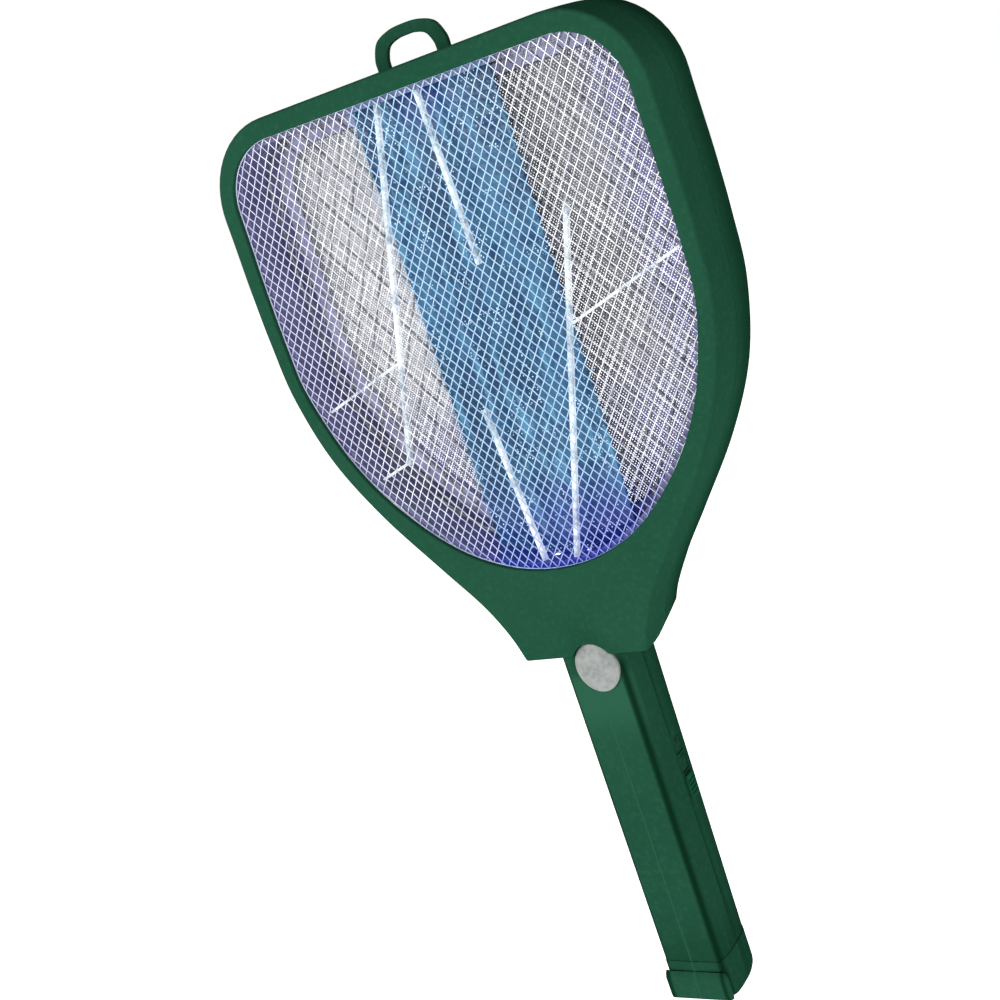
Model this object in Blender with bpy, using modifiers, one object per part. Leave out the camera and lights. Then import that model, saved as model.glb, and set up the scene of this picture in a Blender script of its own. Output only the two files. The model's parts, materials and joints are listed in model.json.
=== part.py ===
"""A hand-held electric mosquito racket: a deep two-shell head that holds three wire grids, a lure light
panel and its LEDs, on a straight handle with the electronics, a push button, a slide switch and a
pull-off end cap over the charging prongs.

+Z runs along the handle towards the hanging loop, the working face looks along -Y, and the origin is
at the middle of the end cap's flat foot. Lengths are in metres.
"""

from math import cos, pi, radians, sin, tau

import bmesh
import bpy
from mathutils import Matrix, Vector

MM = 0.001
GAP = 0.3 * MM  # clearance between neighbouring pieces

# Head, seen from the front: half-widths and heights of the right side
HEAD_TOP = 474 * MM
CORNER_RADIUS = 40 * MM
CORNER_CENTRE = (75 * MM, HEAD_TOP - CORNER_RADIUS)
HEAD_SIDE = [(115, 434), (115.8, 400), (115.7, 373), (113.9, 344), (104.7, 310), (87.3, 278), (64, 246.5),
             (47.6, 225), (38.3, 208), (33.5, 193.5)]
NECK_BOTTOM = 193.5 * MM

# Opening over the front grid
OPENING_TOP = 464.4 * MM
OPENING_RADIUS = 29.5 * MM
OPENING_CENTRE = (76.5 * MM, OPENING_TOP - OPENING_RADIUS)
OPENING_SIDE = [(106, 434.9), (107.3, 400), (107.6, 370), (105.9, 344), (94.6, 309), (77.6, 281.5), (53, 257),
                (27, 243.5), (0, 239.3)]
REAR_OPENING_INSET = 8 * MM  # how much smaller the rear opening is, all round

# Depths along Y
HEAD_FRONT = -21 * MM
HEAD_BACK = 21 * MM
SEAM = 2.5 * MM  # where the two head shells meet
WALL = 2.2 * MM
FACE = 2.4 * MM  # thickness of the front and rear faces
FRONT_INSIDE = HEAD_FRONT + FACE
BACK_INSIDE = HEAD_BACK - FACE

# Ring that carries the grids
CARRIER_HALF_DEPTH = 16.9 * MM
CARRIER_OUT = 1.3 * MM  # outside the front opening's edge
CARRIER_IN = 0.8 * MM  # inside it
GRID_THICKNESS = 0.9 * MM
WIRE_RADIUS = 0.45 * MM
GRID_PITCH = 44 * MM
GRID_CENTRE = Vector((0, 352 * MM))
GUARD_ANGLES = (52, 128)
CHARGE_ANGLES = (60, 124)
FRONT_GRID = -17.85 * MM
CHARGE_GRID = 4.65 * MM
REAR_GRID = 17.85 * MM

# Lure light panel and its LEDs
PANEL_HALF_WIDTH = 38 * MM
PANEL_FRONT, PANEL_BACK = -2.3 * MM, -0.7 * MM
LED_X = 9 * MM
LED_Y = (PANEL_FRONT + PANEL_BACK) / 2
LED_RADIUS = 2.5 * MM
LED_BASE, LED_TOP = 231.3 * MM, 240 * MM
LED_BOARD_LOW, LED_BOARD_HIGH = 229.5 * MM, 231 * MM

# Clear spacer ribs between the front grid and the panel: runs of (start, end) in the XZ plane
RIB_FRONT, RIB_BACK = -12 * MM, -9 * MM
RIB_WIDTH = 2.2 * MM
RIBS = {
    "left_spacer_rib": [((-15, 470), (-67, 299)), ((-112, 285), (-65, 300.5)), ((-118, 327), (-51, 349))],
    "right_spacer_rib": [((57.8, 398.5), (4, 231)), ((41, 347), (116, 373.5))],
    "upper_spacer_rib": [((4, 470), (7, 383))],
    "lower_spacer_rib": [((-15.6, 318), (-9.5, 231))],
}

# Hanging loop, trapped between the head shells
LOOP_X = 1.6 * MM
LOOP_FRONT, LOOP_BACK = -0.7 * MM, 2.1 * MM
LOOP_OUTER, LOOP_INNER = 19.7 * MM, 12.9 * MM
LOOP_FOOT_LOW, LOOP_FOOT_HIGH, LOOP_FOOT = 469.4 * MM, 471.4 * MM, 24 * MM
LOOP_SHOULDER = [(19.7, 471.4), (19.3, 480), (15.6, 486.6), (8, 489.7), (0, 490.3)]
LOOP_EYE = [(12.9, 471.4), (12.6, 478.6), (10, 483), (5, 484.8), (0, 485.1)]

# Handle: right half of its section in XY, from the front's middle ridge round to the back
HANDLE_SECTION = [(0, -18.2), (14.3, -17.7), (15, -17.1), (15.3, -15.7), (16.3, -15.2), (17.4, -13.2),
                  (18, -10.5), (18, 8.5), (17.8, 12.2), (16.9, 15.3), (14.2, 17.4), (9.5, 18.1), (0, 18.2)]
HOLLOW_SECTION = [(0, -16.3), (12.9, -16.1), (13.3, -13.9), (14.9, -12.4), (15.8, -10), (15.8, 6.5), (15, 10.6),
                  (13.2, 13.3), (9.6, 14.8), (0, 15)]
HANDLE_LOW, HANDLE_TOP = 21.3 * MM, 226 * MM
SPIGOT_LOW = 17 * MM
SPIGOT_OUT, SPIGOT_IN = 0.5 * MM, 1.1 * MM  # the spigot's faces, outside and inside the hollow's outline
END_WALL = 2 * MM
HANDLE_HALF_WIDTH = 18 * MM
HANDLE_HOLE = 18.4 * MM
SCREW_HEIGHTS = {"bottom": 30 * MM, "lower": 97 * MM, "upper": 215 * MM}
NECK_SCREW = (24 * MM, 213 * MM)

# End cap and charging prongs
CAP_TOP = 21 * MM
CAP_OUTSIDE, CAP_INSIDE = 2.5 * MM, 0.9 * MM  # the cap's faces, both outside the hollow's outline
CAP_FLOOR = 2 * MM
CAP_SIDE = [(-25, 30), (-25, 0), (2, 0), (8, 1.7), (13, 5), (16.4, 9.8), (17.6, 15), (25, 15.2), (25, 30)]
CAP_FOOT = [(-16.3, -20.5), (16.3, -20.5), (17.7, -18.6), (18.1, -15), (14, -12), (-14, -12), (-18.1, -15), (-17.7, -18.6)]
CAP_FOOT_SIDE = [(-20.5, 0), (-20.5, 12), (-18.6, 16), (-10, 16), (-10, 0)]
PRONG_X = 6.35 * MM
PRONG_HALF = (0.75 * MM, 3.15 * MM)
PRONG_LOW, PRONG_HIGH = 3.2 * MM, 24.7 * MM
CARRIER_BLOCK_LOW, CARRIER_BLOCK_HIGH = 19.6 * MM, 24.4 * MM

# Push button
BUTTON_CENTRE = (3.2 * MM, 187 * MM)
BUTTON_RADII = (11.3 * MM, 12.7 * MM)
BUTTON_FRONT, BUTTON_RIM, BUTTON_BACK = -20.5 * MM, -19.6 * MM, -16.2 * MM
BUTTON_STEM_END = -10.5 * MM

# Slide switch and the two indicator windows on the handle's right side
SWITCH_Y = 4.6 * MM
KNOB_LOW, KNOB_HIGH = 102.5 * MM, 115.5 * MM
SWITCH_TRAVEL = 3 * MM
WINDOWS = {"power_indicator": 121 * MM, "charge_indicator": 131.2 * MM}
WINDOW_HALF = (3.4 * MM, 3.9 * MM)
SWITCH_BOARD = ((4.2, 0.3, 94), (5.4, 10.3, 138))

# Electronics
BOARD_BACK = -3.4 * MM
BOARD = ((-11.2, -5, 104), (11.2, -3.4, 201))
BATTERY_RADIUS = 8.8 * MM
BATTERY_LOW, BATTERY_HIGH = 35 * MM, 91 * MM

# Colours and surface: base colour, roughness, metallic
MATERIALS = {
    "green_plastic": ((0.024, 0.094, 0.054), 0.42, 0),
    "grey_plastic": ((0.33, 0.34, 0.33), 0.5, 0),
    "knob_plastic": ((0.03, 0.13, 0.075), 0.4, 0),
    "grid_metal": ((0.78, 0.79, 0.82), 0.3, 1),
    "violet_plastic": ((0.27, 0.24, 0.48), 0.3, 0),
    "blue_acrylic": ((0.09, 0.32, 0.52), 0.15, 0),
    "clear_plastic": ((0.82, 0.88, 0.92), 0.12, 0),
    "led_violet": ((0.35, 0.3, 0.95), 0.15, 0),
    "window_plastic": ((0.012, 0.05, 0.03), 0.2, 0),
    "circuit_board": ((0.02, 0.16, 0.07), 0.5, 0),
    "black_plastic": ((0.02, 0.02, 0.022), 0.5, 0),
    "capacitor_film": ((0.45, 0.07, 0.05), 0.4, 0),
    "capacitor_sleeve": ((0.03, 0.05, 0.2), 0.35, 0),
    "ferrite": ((0.06, 0.06, 0.065), 0.6, 0),
    "copper_wire": ((0.6, 0.27, 0.12), 0.35, 1),
    "steel": ((0.55, 0.55, 0.56), 0.35, 1),
    "nickel": ((0.7, 0.68, 0.62), 0.25, 1),
    "battery_wrap": ((0.05, 0.22, 0.4), 0.35, 0),
    "red_lead": ((0.5, 0.02, 0.02), 0.45, 0),
    "black_lead": ((0.015, 0.015, 0.015), 0.45, 0),
}


# Scene and materials

for old in list(bpy.data.objects):
    bpy.data.objects.remove(old)

racket = bpy.data.collections.new("mosquito_racket")
helpers = bpy.data.collections.new("cutters")
for group in (racket, helpers):
    bpy.context.scene.collection.children.link(group)


def material(slot):
    found = bpy.data.materials.get(slot)
    if found:
        return found
    colour, roughness, metallic = MATERIALS[slot]
    found = bpy.data.materials.new(slot)
    found.use_nodes = True
    shader = found.node_tree.nodes["Principled BSDF"]
    shader.inputs["Base Color"].default_value = (*colour, 1)
    shader.inputs["Roughness"].default_value = roughness
    shader.inputs["Metallic"].default_value = metallic
    return found


def add(name, data, matrix=None, slot=None):
    """A new object in the racket, or a hidden helper where no material slot is given."""
    piece = bpy.data.objects.new(name, data)
    if slot:
        racket.objects.link(piece)
        data.materials.append(material(slot))
    else:
        helpers.objects.link(piece)
        piece.hide_render = True
        piece.display_type = "WIRE"
    if matrix:
        piece.matrix_world = matrix
    return piece


# Outlines

def scaled(points):
    return [Vector(point) * MM for point in points]


def clockwise(loop):
    """The loop turned, if need be, so that its inside is on the right."""
    turns = sum(a.x * b.y - b.x * a.y for a, b in zip(loop, loop[1:] + loop[:1]))
    return loop if turns < 0 else loop[::-1]


def mirrored(half):
    """A closed loop from its right half, which starts and ends on the middle line or beside it."""
    left = [Vector((-point.x, point.y)) for point in reversed(half)]
    return clockwise([*half, *(point for point in left if abs(point.x) > 1e-6)])


def inset(loop, distance):
    """The clockwise loop moved inwards by the distance, with mitred corners."""
    moved = []
    for before, here, after in zip(loop[-1:] + loop, loop, loop[1:] + loop[:1]):
        along_in, along_out = (here - before).normalized(), (after - here).normalized()
        first = Vector((along_in.y, -along_in.x))
        second = Vector((along_out.y, -along_out.x))
        moved.append(here + (first + second) * distance / (1 + first.dot(second)))
    return moved


def smooth(points, steps, before, after):
    """Points along a Catmull-Rom curve through the given ones; before and after set its end tangents."""
    knots = [Vector(before), *points, Vector(after)]
    found = []
    for a, b, c, d in zip(knots, knots[1:], knots[2:], knots[3:]):
        for i in range(steps):
            t = i / steps
            curve = 2 * b + (c - a) * t + (2 * a - 5 * b + 4 * c - d) * t**2 + (3 * (b - c) + d - a) * t**3
            found.append(curve / 2)
    return [*found, knots[-2]]


def corner(centre, radius, steps=6):
    """The head's rounded corner, from its top to its side."""
    angles = [pi / 2 * (1 - i / steps) for i in range(steps)]
    return [Vector(centre) + radius * Vector((cos(angle), sin(angle))) for angle in angles]


def oval(centre, radii, count=36):
    angles = [tau * i / count for i in range(count)]
    points = [Vector(centre) + Vector((radii[0] * cos(a), radii[1] * sin(a))) for a in angles]
    return clockwise(points)


def head_outline():
    side = scaled(HEAD_SIDE)
    run = smooth(side, 3, side[0] + Vector((0, 50 * MM)), side[-1] + Vector((-4 * MM, -14 * MM)))
    return mirrored(corner(CORNER_CENTRE, CORNER_RADIUS) + run)


def opening_outline():
    side = scaled(OPENING_SIDE)
    run = smooth(side, 3, side[0] + Vector((0, 50 * MM)), (-side[-2].x, side[-2].y))
    return mirrored(corner(OPENING_CENTRE, OPENING_RADIUS) + run)


HEAD = head_outline()
OPENING = opening_outline()
HANDLE = mirrored(scaled(HANDLE_SECTION))
HOLLOW = mirrored(scaled(HOLLOW_SECTION))


# Shapes

def outline_mesh(name, loops, thickness):
    """The mesh of a flat outline, holes included, as thick as asked and centred on the plane."""
    curve = bpy.data.curves.new(name, "CURVE")
    curve.dimensions = "2D"
    curve.fill_mode = "BOTH"
    curve.extrude = thickness / 2
    for loop in loops:
        spline = curve.splines.new("POLY")
        spline.points.add(len(loop) - 1)
        for point, place in zip(spline.points, loop):
            point.co = (place.x, place.y, 0, 1)
        spline.use_cyclic_u = True
    return solid_from(name, curve)


def solid_from(name, curve):
    """The mesh that a curve makes, with its caps welded to its sides."""
    guide = bpy.data.objects.new(name, curve)
    helpers.objects.link(guide)
    bpy.context.view_layer.update()
    mesh = bpy.data.meshes.new_from_object(guide.evaluated_get(bpy.context.evaluated_depsgraph_get()))
    bpy.data.objects.remove(guide)
    work = bmesh.new()
    work.from_mesh(mesh)
    bmesh.ops.remove_doubles(work, verts=work.verts, dist=0.00001)
    bmesh.ops.recalc_face_normals(work, faces=work.faces)
    work.to_mesh(mesh)
    work.free()
    mesh.materials.clear()
    return mesh


def plate(name, loops, front, back, slot=None):
    """A piece whose outline lies in the XZ plane, from depth front to depth back."""
    turn = Matrix.Translation((0, (front + back) / 2, 0)) @ Matrix.Rotation(pi / 2, 4, "X")
    return add(name, outline_mesh(name, loops, back - front), turn, slot)


def column(name, loops, low, high, slot=None):
    """A piece whose outline lies in the XY plane, from height low to height high."""
    place = Matrix.Translation((0, 0, (low + high) / 2))
    return add(name, outline_mesh(name, loops, high - low), place, slot)


def slab(name, loop, half_width):
    """A helper whose outline lies in the YZ plane, centred on it."""
    place = Matrix(((0, 0, 1, 0), (1, 0, 0, 0), (0, 1, 0, 0), (0, 0, 0, 1)))
    return add(name, outline_mesh(name, [loop], 2 * half_width), place)


def block(name, low, high, slot=None):
    low, high = Vector(low), Vector(high)
    work = bmesh.new()
    bmesh.ops.create_cube(work, size=1, matrix=Matrix.Diagonal((*(high - low), 1)))
    mesh = bpy.data.meshes.new(name)
    work.to_mesh(mesh)
    work.free()
    return add(name, mesh, Matrix.Translation((low + high) / 2), slot)


def block_mm(name, corners, slot=None):
    return block(name, *(Vector(corner_point) * MM for corner_point in corners), slot)


def rods(name, ends, radius, sides, slot=None):
    """Round bars between pairs of points, as one object."""
    work = bmesh.new()
    for start, end in ends:
        start, end = Vector(start), Vector(end)
        turn = (end - start).to_track_quat("Z", "Y").to_matrix().to_4x4()
        place = Matrix.Translation((start + end) / 2) @ turn
        bmesh.ops.create_cone(work, cap_ends=True, segments=sides, radius1=radius, radius2=radius,
                              depth=(end - start).length, matrix=place)
    mesh = bpy.data.meshes.new(name)
    work.to_mesh(mesh)
    work.free()
    return add(name, mesh, None, slot)


def rod(name, start, end, radius, slot=None, sides=20):
    return rods(name, [(start, end)], radius, sides, slot)


def turned(name, profile, slot, segments=20):
    """A piece turned about its Z axis from (radius, height) points that run down its outer side."""
    mesh = bpy.data.meshes.new(name)
    mesh.from_pydata([(radius, 0, height) for radius, height in profile],
                     [(i, i + 1) for i in range(len(profile) - 1)], [])
    piece = add(name, mesh, None, slot)
    screw = piece.modifiers.new("turn", "SCREW")
    screw.steps = screw.render_steps = segments
    screw.use_merge_vertices = True
    screw.merge_threshold = 0.00001
    return piece


def lead(name, route, radius, slot):
    """An insulated wire on a smooth curve through the route's points, which are in millimetres."""
    knots = scaled(route)
    points = smooth(knots, 3, 2 * knots[0] - knots[1], 2 * knots[-1] - knots[-2])
    curve = bpy.data.curves.new(name, "CURVE")
    curve.dimensions = "3D"
    curve.bevel_depth = radius
    curve.bevel_resolution = 2
    curve.use_fill_caps = True
    spline = curve.splines.new("POLY")
    spline.points.add(len(points) - 1)
    for point, place in zip(spline.points, points):
        point.co = (*place, 1)
    return add(name, solid_from(name, curve), None, slot)


def boolean(piece, other, operation):
    change = piece.modifiers.new(other.name, "BOOLEAN")
    change.operation = operation
    change.object = other


def cut(piece, *cutters):
    for cutter in cutters:
        boolean(piece, cutter, "DIFFERENCE")


def join(piece, *others):
    for other in others:
        boolean(piece, other, "UNION")


# Head shells

def handle_passage(name, front, back):
    low, high = NECK_BOTTOM - 4 * MM, NECK_BOTTOM + WALL + 1 * MM
    return block(name, (-HANDLE_HOLE, front, low), (HANDLE_HOLE, back, high))


def neck_screw_ends(side, front, back):
    x, z = side * NECK_SCREW[0], NECK_SCREW[1]
    return (x, front, z), (x, back, z)


def make_front_head_frame():
    frame = plate("front_head_frame", [HEAD], HEAD_FRONT, SEAM - GAP / 2, "green_plastic")
    cut(frame, plate("front_cavity", [inset(HEAD, WALL)], FRONT_INSIDE, SEAM + 1 * MM))
    cut(frame, plate("front_opening", [OPENING], HEAD_FRONT - 1 * MM, FRONT_INSIDE + 1 * MM))
    cut(frame, handle_passage("front_passage", FRONT_INSIDE, SEAM + 1 * MM))
    notch = [radius + 0.6 * MM for radius in BUTTON_RADII]
    cut(frame, plate("button_notch", [oval(BUTTON_CENTRE, notch)], HEAD_FRONT - 1 * MM, FRONT_INSIDE + 1 * MM))
    for side in (-1, 1):
        x = sorted((side * (LOOP_INNER - 0.4 * MM), side * (LOOP_OUTER + 0.4 * MM)))
        cut(frame, block(f"loop_notch_{side}", (LOOP_X + x[0], LOOP_FRONT - 0.4 * MM, HEAD_TOP - 3 * MM),
                         (LOOP_X + x[1], SEAM + 1 * MM, HEAD_TOP + 1 * MM)))
        post = neck_screw_ends(side, FRONT_INSIDE - 0.5 * MM, SEAM - 0.4 * MM)
        join(frame, rod(f"front_post_{side}", *post, 3.2 * MM))
        hole = neck_screw_ends(side, -11 * MM, SEAM + 1 * MM)
        cut(frame, rod(f"front_post_hole_{side}", *hole, 1.4 * MM, sides=12))
        ledge_x = sorted((side * 20 * MM, side * 24 * MM))
        join(frame, block(f"led_ledge_{side}", (ledge_x[0], FRONT_INSIDE - 0.5 * MM, 227.4 * MM),
                          (ledge_x[1], 0, 229.2 * MM)))


def make_rear_head_frame():
    frame = plate("rear_head_frame", [HEAD], SEAM + GAP / 2, HEAD_BACK, "green_plastic")
    cut(frame, plate("rear_cavity", [inset(HEAD, WALL)], SEAM - 1 * MM, BACK_INSIDE))
    rear_opening = [inset(OPENING, REAR_OPENING_INSET)]
    cut(frame, plate("rear_opening", rear_opening, BACK_INSIDE - 1 * MM, HEAD_BACK + 1 * MM))
    cut(frame, handle_passage("rear_passage", SEAM - 1 * MM, BACK_INSIDE))
    for side in (-1, 1):
        post = neck_screw_ends(side, SEAM + 0.4 * MM, BACK_INSIDE + 0.5 * MM)
        join(frame, rod(f"rear_post_{side}", *post, 3.4 * MM))
        hole = neck_screw_ends(side, SEAM - 1 * MM, HEAD_BACK + 1 * MM)
        cut(frame, rod(f"rear_post_hole_{side}", *hole, 1.5 * MM, sides=12))
        recess = neck_screw_ends(side, HEAD_BACK - 2 * MM, HEAD_BACK + 1 * MM)
        cut(frame, rod(f"rear_recess_{side}", *recess, 2.9 * MM))


def make_hanging_loop():
    after = (-LOOP_SHOULDER[-2][0] * MM, LOOP_SHOULDER[-2][1] * MM)
    rise = scaled(LOOP_SHOULDER)
    arch = smooth(rise[1:], 3, rise[0], after)
    foot = [Vector((0, LOOP_FOOT_LOW)), Vector((LOOP_FOOT, LOOP_FOOT_LOW)), Vector((LOOP_FOOT, LOOP_FOOT_HIGH))]
    outside = mirrored([*foot, rise[0], *arch])
    eye_rise = scaled(LOOP_EYE)
    eye_after = (-eye_rise[-2].x, eye_rise[-2].y)
    eye = mirrored([Vector((0, LOOP_FOOT_HIGH)), eye_rise[0], *smooth(eye_rise[1:], 3, eye_rise[0], eye_after)])
    loops = [[point + Vector((LOOP_X, 0)) for point in loop] for loop in (outside, eye)]
    plate("hanging_loop", loops, LOOP_FRONT, LOOP_BACK, "green_plastic")


# Grids, carrier, panel, ribs and LEDs

def chord(loop, point, along):
    """Where a straight line crosses a convex loop."""
    across = Vector((-along.y, along.x))
    crossings = []
    for a, b in zip(loop, loop[1:] + loop[:1]):
        side_a, side_b = (a - point).dot(across), (b - point).dot(across)
        if (side_a < 0) != (side_b < 0):
            crossings.append(a + (b - a) * side_a / (side_a - side_b))
    return crossings


def wires(name, loop, angle, depth):
    """Parallel wires at an angle to X, from edge to edge of the loop."""
    along = Vector((cos(radians(angle)), sin(radians(angle))))
    across = Vector((-along.y, along.x))
    ends = []
    for i in range(-4, 5):
        crossings = chord(loop, GRID_CENTRE + across * GRID_PITCH * i, along)
        if len(crossings) == 2 and (crossings[0] - crossings[1]).length > GRID_PITCH:
            ends.append([(place.x, depth, place.y) for place in crossings])
    return rods(name, ends, WIRE_RADIUS, 5)


def make_grid(name, rim_out, rim_in, depth, angles):
    """A rim band and two crossing sets of wires, as one piece."""
    loops = [inset(OPENING, -rim_out), inset(OPENING, rim_in)]
    grid = plate(name, loops, depth - GRID_THICKNESS / 2, depth + GRID_THICKNESS / 2, "grid_metal")
    middle = inset(OPENING, (rim_in - rim_out) / 2)
    join(grid, wires(f"{name}_rising", middle, angles[0], depth - 0.1 * MM))
    join(grid, wires(f"{name}_falling", middle, angles[1], depth + 0.1 * MM))


def make_grid_carrier():
    loops = [inset(OPENING, -CARRIER_OUT), inset(OPENING, CARRIER_IN)]
    ring = plate("grid_carrier", loops, -CARRIER_HALF_DEPTH, CARRIER_HALF_DEPTH, "violet_plastic")
    for side in (-1, 1):
        x = side * LED_X
        cut(ring, rod(f"led_hole_{side}", (x, LED_Y, 230 * MM), (x, LED_Y, 250 * MM), LED_RADIUS + GAP))


def inside_carrier(name, front, back):
    return plate(name, [inset(OPENING, CARRIER_IN + GAP)], front - 1 * MM, back + 1 * MM)


def make_lure_panel():
    low, high = OPENING_SIDE[-1][1] * MM - 5 * MM, OPENING_TOP + 5 * MM
    panel = block("lure_light_panel", (-PANEL_HALF_WIDTH, PANEL_FRONT, low),
                  (PANEL_HALF_WIDTH, PANEL_BACK, high), "blue_acrylic")
    boolean(panel, inside_carrier("panel_limit", PANEL_FRONT, PANEL_BACK), "INTERSECT")


def make_spacer_rib(name, runs):
    """Straight bars in one plane, joined into one piece and ended just inside the carrier."""
    bars = []
    for i, (start, end) in enumerate(scaled(pair) for pair in runs):
        across = (end - start).orthogonal().normalized() * RIB_WIDTH / 2
        loop = clockwise([start - across, start + across, end + across, end - across])
        front = RIB_FRONT + i * 0.2 * MM
        slot = None if i else "clear_plastic"
        bars.append(plate(f"{name}_bar_{i}" if i else name, [loop], front, RIB_BACK - i * 0.2 * MM, slot))
    join(bars[0], *bars[1:])
    boolean(bars[0], inside_carrier(f"{name}_limit", RIB_FRONT, RIB_BACK), "INTERSECT")


def make_leds():
    block("led_board", (-26 * MM, -6.5 * MM, LED_BOARD_LOW), (26 * MM, 3.5 * MM, LED_BOARD_HIGH), "circuit_board")
    straight_top = LED_TOP - LED_RADIUS
    dome = [(LED_RADIUS * sin(pi / 2 * i / 5), straight_top + LED_RADIUS * cos(pi / 2 * i / 5)) for i in range(6)]
    flange = LED_RADIUS + 0.4 * MM
    profile = [*dome, (LED_RADIUS, LED_BASE + 1 * MM), (flange, LED_BASE + 1 * MM), (flange, LED_BASE),
               (0, LED_BASE)]
    for side, name in ((-1, "uv_led_left"), (1, "uv_led_right")):
        turned(name, profile, "led_violet").location = (side * LED_X, LED_Y, 0)


def make_screw(name, x, z, head_back, tip):
    """A pan-head screw driven from the back, with a cross recess."""
    head_front = head_back - 1.5 * MM
    screw = rod(name, (x, head_front, z), (x, head_back, z), 2.6 * MM, "steel")
    join(screw, rod(f"{name}_shank", (x, tip, z), (x, head_front + 0.3 * MM, z), 1.05 * MM, sides=12))
    arm, half = 1.6 * MM, 0.35 * MM
    for i, (wide, tall) in enumerate(((arm, half), (half, arm))):
        cut(screw, block(f"{name}_slot_{i}", (x - wide, head_back - 0.8 * MM, z - tall),
                         (x + wide, head_back + 1 * MM, z + tall)))


# Handle

def handle_body(name, slot, half_cut):
    """One half of the handle with its spigot, hollow inside and open at the top."""
    shell = column(name, [HANDLE], HANDLE_LOW, HANDLE_TOP, slot)
    join(shell, column(f"{name}_spigot", [inset(HOLLOW, -SPIGOT_OUT)], SPIGOT_LOW, HANDLE_LOW + 2 * MM))
    hollow = [inset(HOLLOW, SPIGOT_IN)]
    cut(shell, column(f"{name}_spigot_hollow", hollow, SPIGOT_LOW + END_WALL, HANDLE_LOW + 3 * MM))
    cut(shell, column(f"{name}_hollow", [HOLLOW], HANDLE_LOW + 2 * MM, HANDLE_TOP + 1 * MM))
    wide = HANDLE_HALF_WIDTH + 5 * MM
    cut(shell, block(f"{name}_other_half", (-wide, half_cut[0], 0), (wide, half_cut[1], HANDLE_TOP + 5 * MM)))
    for side in (-1, 1):
        half = [size + GAP for size in PRONG_HALF]
        x = side * PRONG_X
        cut(shell, block(f"{name}_prong_slot_{side}", (x - half[0], -half[1], SPIGOT_LOW - 1 * MM),
                         (x + half[0], half[1], SPIGOT_LOW + END_WALL + 1 * MM)))
    return shell


def make_handle_front_shell():
    shell = handle_body("handle_front_shell", "green_plastic", (-GAP / 2, 30 * MM))
    for key, z in SCREW_HEIGHTS.items():
        join(shell, rod(f"front_boss_{key}", (0, -17 * MM, z), (0, -0.6 * MM, z), 2.8 * MM))
        cut(shell, rod(f"front_boss_hole_{key}", (0, -11 * MM, z), (0, 1 * MM, z), 1.35 * MM, sides=12))
    hole = [radius + GAP for radius in BUTTON_RADII]
    cut(shell, plate("button_hole", [oval(BUTTON_CENTRE, hole)], -22 * MM, -14 * MM))


def make_handle_rear_shell():
    shell = handle_body("handle_rear_shell", "green_plastic", (-30 * MM, GAP / 2))
    for key, z in SCREW_HEIGHTS.items():
        join(shell, rod(f"rear_boss_{key}", (0, 0.6 * MM, z), (0, 16 * MM, z), 3.6 * MM))
        cut(shell, rod(f"rear_boss_hole_{key}", (0, -1 * MM, z), (0, 20 * MM, z), 1.5 * MM, sides=12))
        cut(shell, rod(f"rear_boss_recess_{key}", (0, 15.2 * MM, z), (0, 20 * MM, z), 2.9 * MM))
    inner, outer = 14 * MM, 21 * MM
    for name, z in WINDOWS.items():
        half_y, half_z = (size + GAP for size in WINDOW_HALF)
        cut(shell, block(f"{name}_hole", (inner, SWITCH_Y - half_y, z - half_z),
                         (outer, SWITCH_Y + half_y, z + half_z)))
    middle = (KNOB_LOW + KNOB_HIGH) / 2
    cut(shell, block("switch_slot", (inner, SWITCH_Y - 1.6 * MM, middle - 1.7 * MM),
                     (outer, SWITCH_Y + 1.6 * MM, middle + 1.7 * MM + SWITCH_TRAVEL)))


def make_end_cap():
    pull = bpy.data.objects.new("end_cap_pull", None)
    racket.objects.link(pull)
    cap = column("end_cap", [inset(HOLLOW, -CAP_OUTSIDE)], 0, CAP_TOP, "green_plastic")
    cap.parent = pull
    foot = column("cap_foot", [clockwise(scaled(CAP_FOOT))], 0, 18 * MM)
    boolean(foot, slab("cap_foot_side", clockwise(scaled(CAP_FOOT_SIDE)), 20 * MM), "INTERSECT")
    join(cap, foot)
    side = clockwise(scaled(CAP_SIDE))
    boolean(cap, slab("cap_side", side, 20 * MM), "INTERSECT")
    hollow = column("cap_hollow", [inset(HOLLOW, -CAP_INSIDE)], CAP_FLOOR, CAP_TOP + 1 * MM)
    boolean(hollow, slab("cap_hollow_side", inset(side, CAP_FLOOR - 0.1 * MM), 19 * MM), "INTERSECT")
    cut(cap, hollow)


def make_charging_prongs():
    reach = (11 * MM, 7 * MM)
    holder = block("prong_holder", (-reach[0], -reach[1], CARRIER_BLOCK_LOW),
                   (reach[0], reach[1], CARRIER_BLOCK_HIGH), "black_plastic")
    for side, name in ((-1, "charging_prong_left"), (1, "charging_prong_right")):
        x = side * PRONG_X
        thick, wide = PRONG_HALF
        block(name, (x - thick, -wide, PRONG_LOW), (x + thick, wide, PRONG_HIGH), "nickel")
        cut(holder, block(f"{name}_slot", (x - thick - GAP, -wide - GAP, CARRIER_BLOCK_LOW - 1 * MM),
                          (x + thick + GAP, wide + GAP, CARRIER_BLOCK_HIGH + 1 * MM)))


# Controls

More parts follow.
